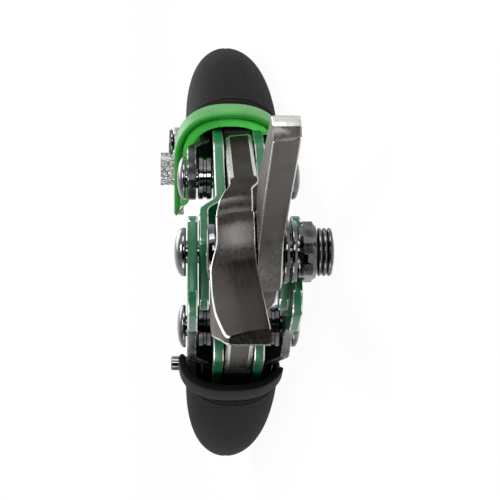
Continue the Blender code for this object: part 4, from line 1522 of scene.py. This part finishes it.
@dataclass(frozen=True)
class ThumbLatch:
    """The latch on the upper grip, with its pin and the keeper on the lower grip."""

    nodes: dict[str, Piece]
    edge: float = 0.22
    hard: float = math.radians(35.0)
    level: float = math.radians(2.0)

    def eased(self, node: str, body: str, slot: str, finish: Finish) -> None:
        """Copy a CAD node, ease its edges and dress it.

        Args:
            node: The CAD node.
            body: The body that it rides on.
            slot: The record's material slot.
            finish: Its finish.
        """
        bm = bmesh.new()
        bm.from_mesh(self.nodes[node].data)
        bmesh.ops.remove_doubles(bm, verts=bm.verts, dist=1e-6)
        bmesh.ops.dissolve_limit(bm, angle_limit=self.level, verts=bm.verts, edges=bm.edges)
        hard = [e for e in bm.edges if len(e.link_faces) == 2 and e.calc_face_angle(0.0) > self.hard]
        bmesh.ops.bevel(bm, geom=hard, offset=self.edge * MM, segments=2, affect="EDGES", clamp_overlap=True)
        for face in bm.faces:
            face.material_index = 0
        bmesh.ops.scale(bm, vec=(1 / MM, 1 / MM, 1 / MM), verts=bm.verts)
        seat = Seat(Matrix.Identity(4), body, slot, (node,))
        place_piece(f"{node}_eased", bm, seat, (finish,), sharp=34.0)

    def build(self) -> None:
        """Ease and dress the three pieces."""
        self.eased("thumb_latch", "latch", "latch_steel", LATCH_STEEL)
        self.eased("latch_pin", "upper_handle", "black_chrome", BLACK_CHROME)
        self.eased("latch_keeper", "lower_handle", "black_chrome", BLACK_CHROME)


@dataclass(frozen=True)
class Lamp:
    """A soft square lamp: where it hangs, what it points at, its side in millimetres and its watts."""

    name: str
    place: Point
    target: Point
    size: float
    power: float

    def hang(self) -> None:
        """Hang the lamp and aim it."""
        data = bpy.data.lights.new(self.name, "AREA")
        data.size = self.size * MM
        data.energy = self.power
        lamp = bpy.data.objects.new(self.name, data)
        bpy.context.scene.collection.objects.link(lamp)
        aim = (Vector(self.target) - Vector(self.place)).to_track_quat("-Z", "Y")
        lamp.matrix_world = Matrix.Translation(Vector(self.place) * MM) @ aim.to_matrix().to_4x4()


@dataclass(frozen=True)
class Studio:
    """White sweep, soft lights and the camera in front of the tool's nose."""

    tool: Matrix
    distance: float = 321.0
    height: float = 12.2
    focal: float = 1663.0
    frame: int = 500
    centre: Flat = (183.0, 252.0)
    sensor: float = 36.0
    sky_light: float = 0.4
    floor_half: float = 6000.0
    floor_gap: float = 0.2
    floor_glow: float = 0.95
    shadow_reach: Flat = (250.0, 900.0)
    flag_half: float = 420.0
    flag_place: Point = (0.0, -520.0, 30.0)
    lamps: tuple[Lamp, ...] = (
        Lamp("key_from_above", (90.0, -120.0, 380.0), (0.0, 10.0, 0.0), 150.0, 0.9),
        Lamp("wide_front", (330.0, -160.0, 120.0), (0.0, 0.0, 0.0), 170.0, 0.65),
        Lamp("low_fill", (-330.0, -160.0, 120.0), (0.0, 0.0, 0.0), 170.0, 0.5),
        Lamp("front_strip", (110.0, -400.0, 62.0), (0.0, 0.0, 15.0), 120.0, 0.42),
        Lamp("rim_from_behind", (160.0, 320.0, 260.0), (0.0, 30.0, 0.0), 260.0, 0.7),
    )

    def build(self) -> None:
        """Set up the camera, world, floor and lights."""
        self.build_camera()
        self.build_world()
        self.build_floor()
        self.build_flag()
        for lamp in self.lamps:
            lamp.hang()

    def build_camera(self) -> None:
        """Stand the camera on the line that the photograph was taken from, with the upper handle up."""
        data = bpy.data.cameras.new("nose_camera")
        data.sensor_width = self.sensor
        data.lens = self.sensor * self.focal / self.frame
        data.clip_start = 0.01
        camera = bpy.data.objects.new("nose_camera", data)
        bpy.context.scene.collection.objects.link(camera)
        across = (self.centre[0] - 0.5 * self.frame) / self.focal
        down = (self.centre[1] - 0.5 * self.frame) / self.focal
        right, up = Vector((0.0, 0.0, -1.0)), Vector((1.0, 0.0, 0.0))
        ahead = (Vector((0.0, 1.0, 0.0)) - across * right + down * up).normalized()
        side = ahead.cross(up).normalized()
        top = side.cross(ahead)
        turned = Matrix((side, top, -ahead)).transposed().to_4x4()
        stand = Matrix.Translation(Vector((0.0, -self.distance, self.height)) * MM)
        camera.matrix_world = self.tool @ stand @ turned
        bpy.context.scene.camera = camera

    @staticmethod
    def seen(tree: Tree) -> Socket:
        """Tell the rays that see the backdrop from those that only light the tool.

        Args:
            tree: The node tree of the backdrop.

        Returns:
            1 for rays of the camera, of reflections and of glass, and 0 for the rest.
        """
        rays = add_node(tree, "LightPath")
        seen = rays.outputs["Is Camera Ray"]
        for name in ("Is Glossy Ray", "Is Transmission Ray"):
            seen = add_node(tree, "Math", {0: seen, 1: rays.outputs[name]}, operation="MAXIMUM").outputs[0]
        return seen

    def build_world(self) -> None:
        """A pale even sky that the camera and the reflections see as white."""
        world = bpy.data.worlds.new("white_sweep")
        bpy.context.scene.world = world
        world.use_nodes = True
        tree = world.node_tree
        tree.nodes.clear()
        sockets = {"Value": self.seen(tree), "To Min": self.sky_light, "To Max": 1.0}
        strength = add_node(tree, "MapRange", sockets)
        sky = add_node(tree, "Background", {"Strength": strength, "Color": linear("#FFFFFF")})
        add_node(tree, "OutputWorld", {"Surface": sky})

    @staticmethod
    def stage_sheet(name: str, half: float, material: bpy.types.Material) -> Piece:
        """Lay out a flat square sheet for the stage.

        Args:
            name: Its name.
            half: Half its side in millimetres.
            material: What it is made of.

        Returns:
            The sheet, level and at the origin.
        """
        bm = bmesh.new()
        bmesh.ops.create_grid(bm, x_segments=2, y_segments=2, size=half * MM)
        mesh = bpy.data.meshes.new(name)
        bm.to_mesh(mesh)
        bm.free()
        mesh.materials.append(material)
        sheet = bpy.data.objects.new(name, mesh)
        bpy.context.scene.collection.objects.link(sheet)
        return sheet

    def build_floor(self) -> None:
        """A white floor that takes a pale shadow near the tool and runs out to plain white."""
        material = empty_material("white_paper_sweep")
        tree = material.node_tree
        paper = add_node(tree, "BsdfDiffuse", {"Color": linear("#F4F4F4")})
        glow = add_node(tree, "Emission", {"Color": linear("#FFFFFF"), "Strength": 1.0})
        place = add_node(tree, "TexCoord").outputs["Object"]
        reach = add_node(tree, "VectorMath", {0: place}, operation="LENGTH").outputs["Value"]
        near, far = (edge * MM for edge in self.shadow_reach)
        limits = {"From Min": near, "From Max": far, "To Min": self.floor_glow, "To Max": 1.0}
        fade = add_node(tree, "MapRange", {"Value": reach, **limits})
        share = add_node(tree, "Math", {0: self.seen(tree), 1: fade}, operation="MULTIPLY")
        mix = add_node(tree, "MixShader", {0: share, 1: paper, 2: glow})
        add_node(tree, "OutputMaterial", {"Surface": mix})
        floor = self.stage_sheet("white_floor", self.floor_half, material)
        floor.location = (0.0, 0.0, -self.floor_gap * MM)

    def build_flag(self) -> None:
        """Hang a black flag behind the camera, which only reflections see, so that bare metal has depth."""
        material = empty_material("black_velvet")
        tree = material.node_tree
        velvet = add_node(tree, "BsdfDiffuse", {"Color": linear("#0A0A0A")})
        add_node(tree, "OutputMaterial", {"Surface": velvet})
        flag = self.stage_sheet("black_flag", self.flag_half, material)
        upright = Matrix.Rotation(0.5 * math.pi, 4, "X")
        flag.matrix_world = self.tool @ Matrix.Translation(Vector(self.flag_place) * MM) @ upright
        for ray in ("camera", "diffuse", "shadow", "transmission"):
            setattr(flag, f"visible_{ray}", False)


def dress_hidden(nodes: dict[str, Piece]) -> None:
    """Dress the CAD nodes that stay: the sleeve and the fillers inside the grips.

    Args:
        nodes: The CAD nodes by name.
    """
    hidden = {"handle_sleeve": BLACK_CHROME, "upper_core": CORE_NYLON, "lower_core": CORE_NYLON}
    for name, finish in hidden.items():
        mesh = nodes[name].data
        mesh.materials.clear()
        mesh.materials.append(finish.material())
        LOG.info("%s: dressed", name)


def main() -> None:
    """Load the frame, dress every piece and set up the studio."""
    logging.basicConfig(level=logging.INFO, format="%(name)s: %(message)s")
    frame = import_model()
    bpy.context.scene.view_settings.view_transform = "Standard"
    link = Linkage({joint["name"]: joint for joint in frame["joints"]})
    faces = {"shear": -1.5, "tip_face": 5.0, "blade_face": 7.2, "hub_face": 5.9}
    Jaw("lower_jaw", Side.UPPER, link, BLADE_STEEL, **faces, shoulder=2.3, bevel=2.6).build()
    faces = {"shear": -1.8, "tip_face": -6.4, "blade_face": -6.7, "hub_face": -6.7}
    # The upper jaw's steel is painted paler for the light that it catches
    Jaw("upper_jaw", Side.LOWER, link, BLADE_STEEL_PAINTED_LIGHT, **faces, shoulder=4.4, bevel=1.2).build()
    MainBolt(link).build()
    for side in Side:
        HandlePlates(side, link).build()
        Grip(side, link).build()
    Rivet("handle_rivet", link, Side.LOWER, (0.0, 0.0), head_radius=4.9, head_height=2.4).build()
    ThumbLatch(frame["nodes"]).build()
    dress_hidden(frame["nodes"])
    Studio(link.tool()).build()


if __name__ == "__main__":
    main()
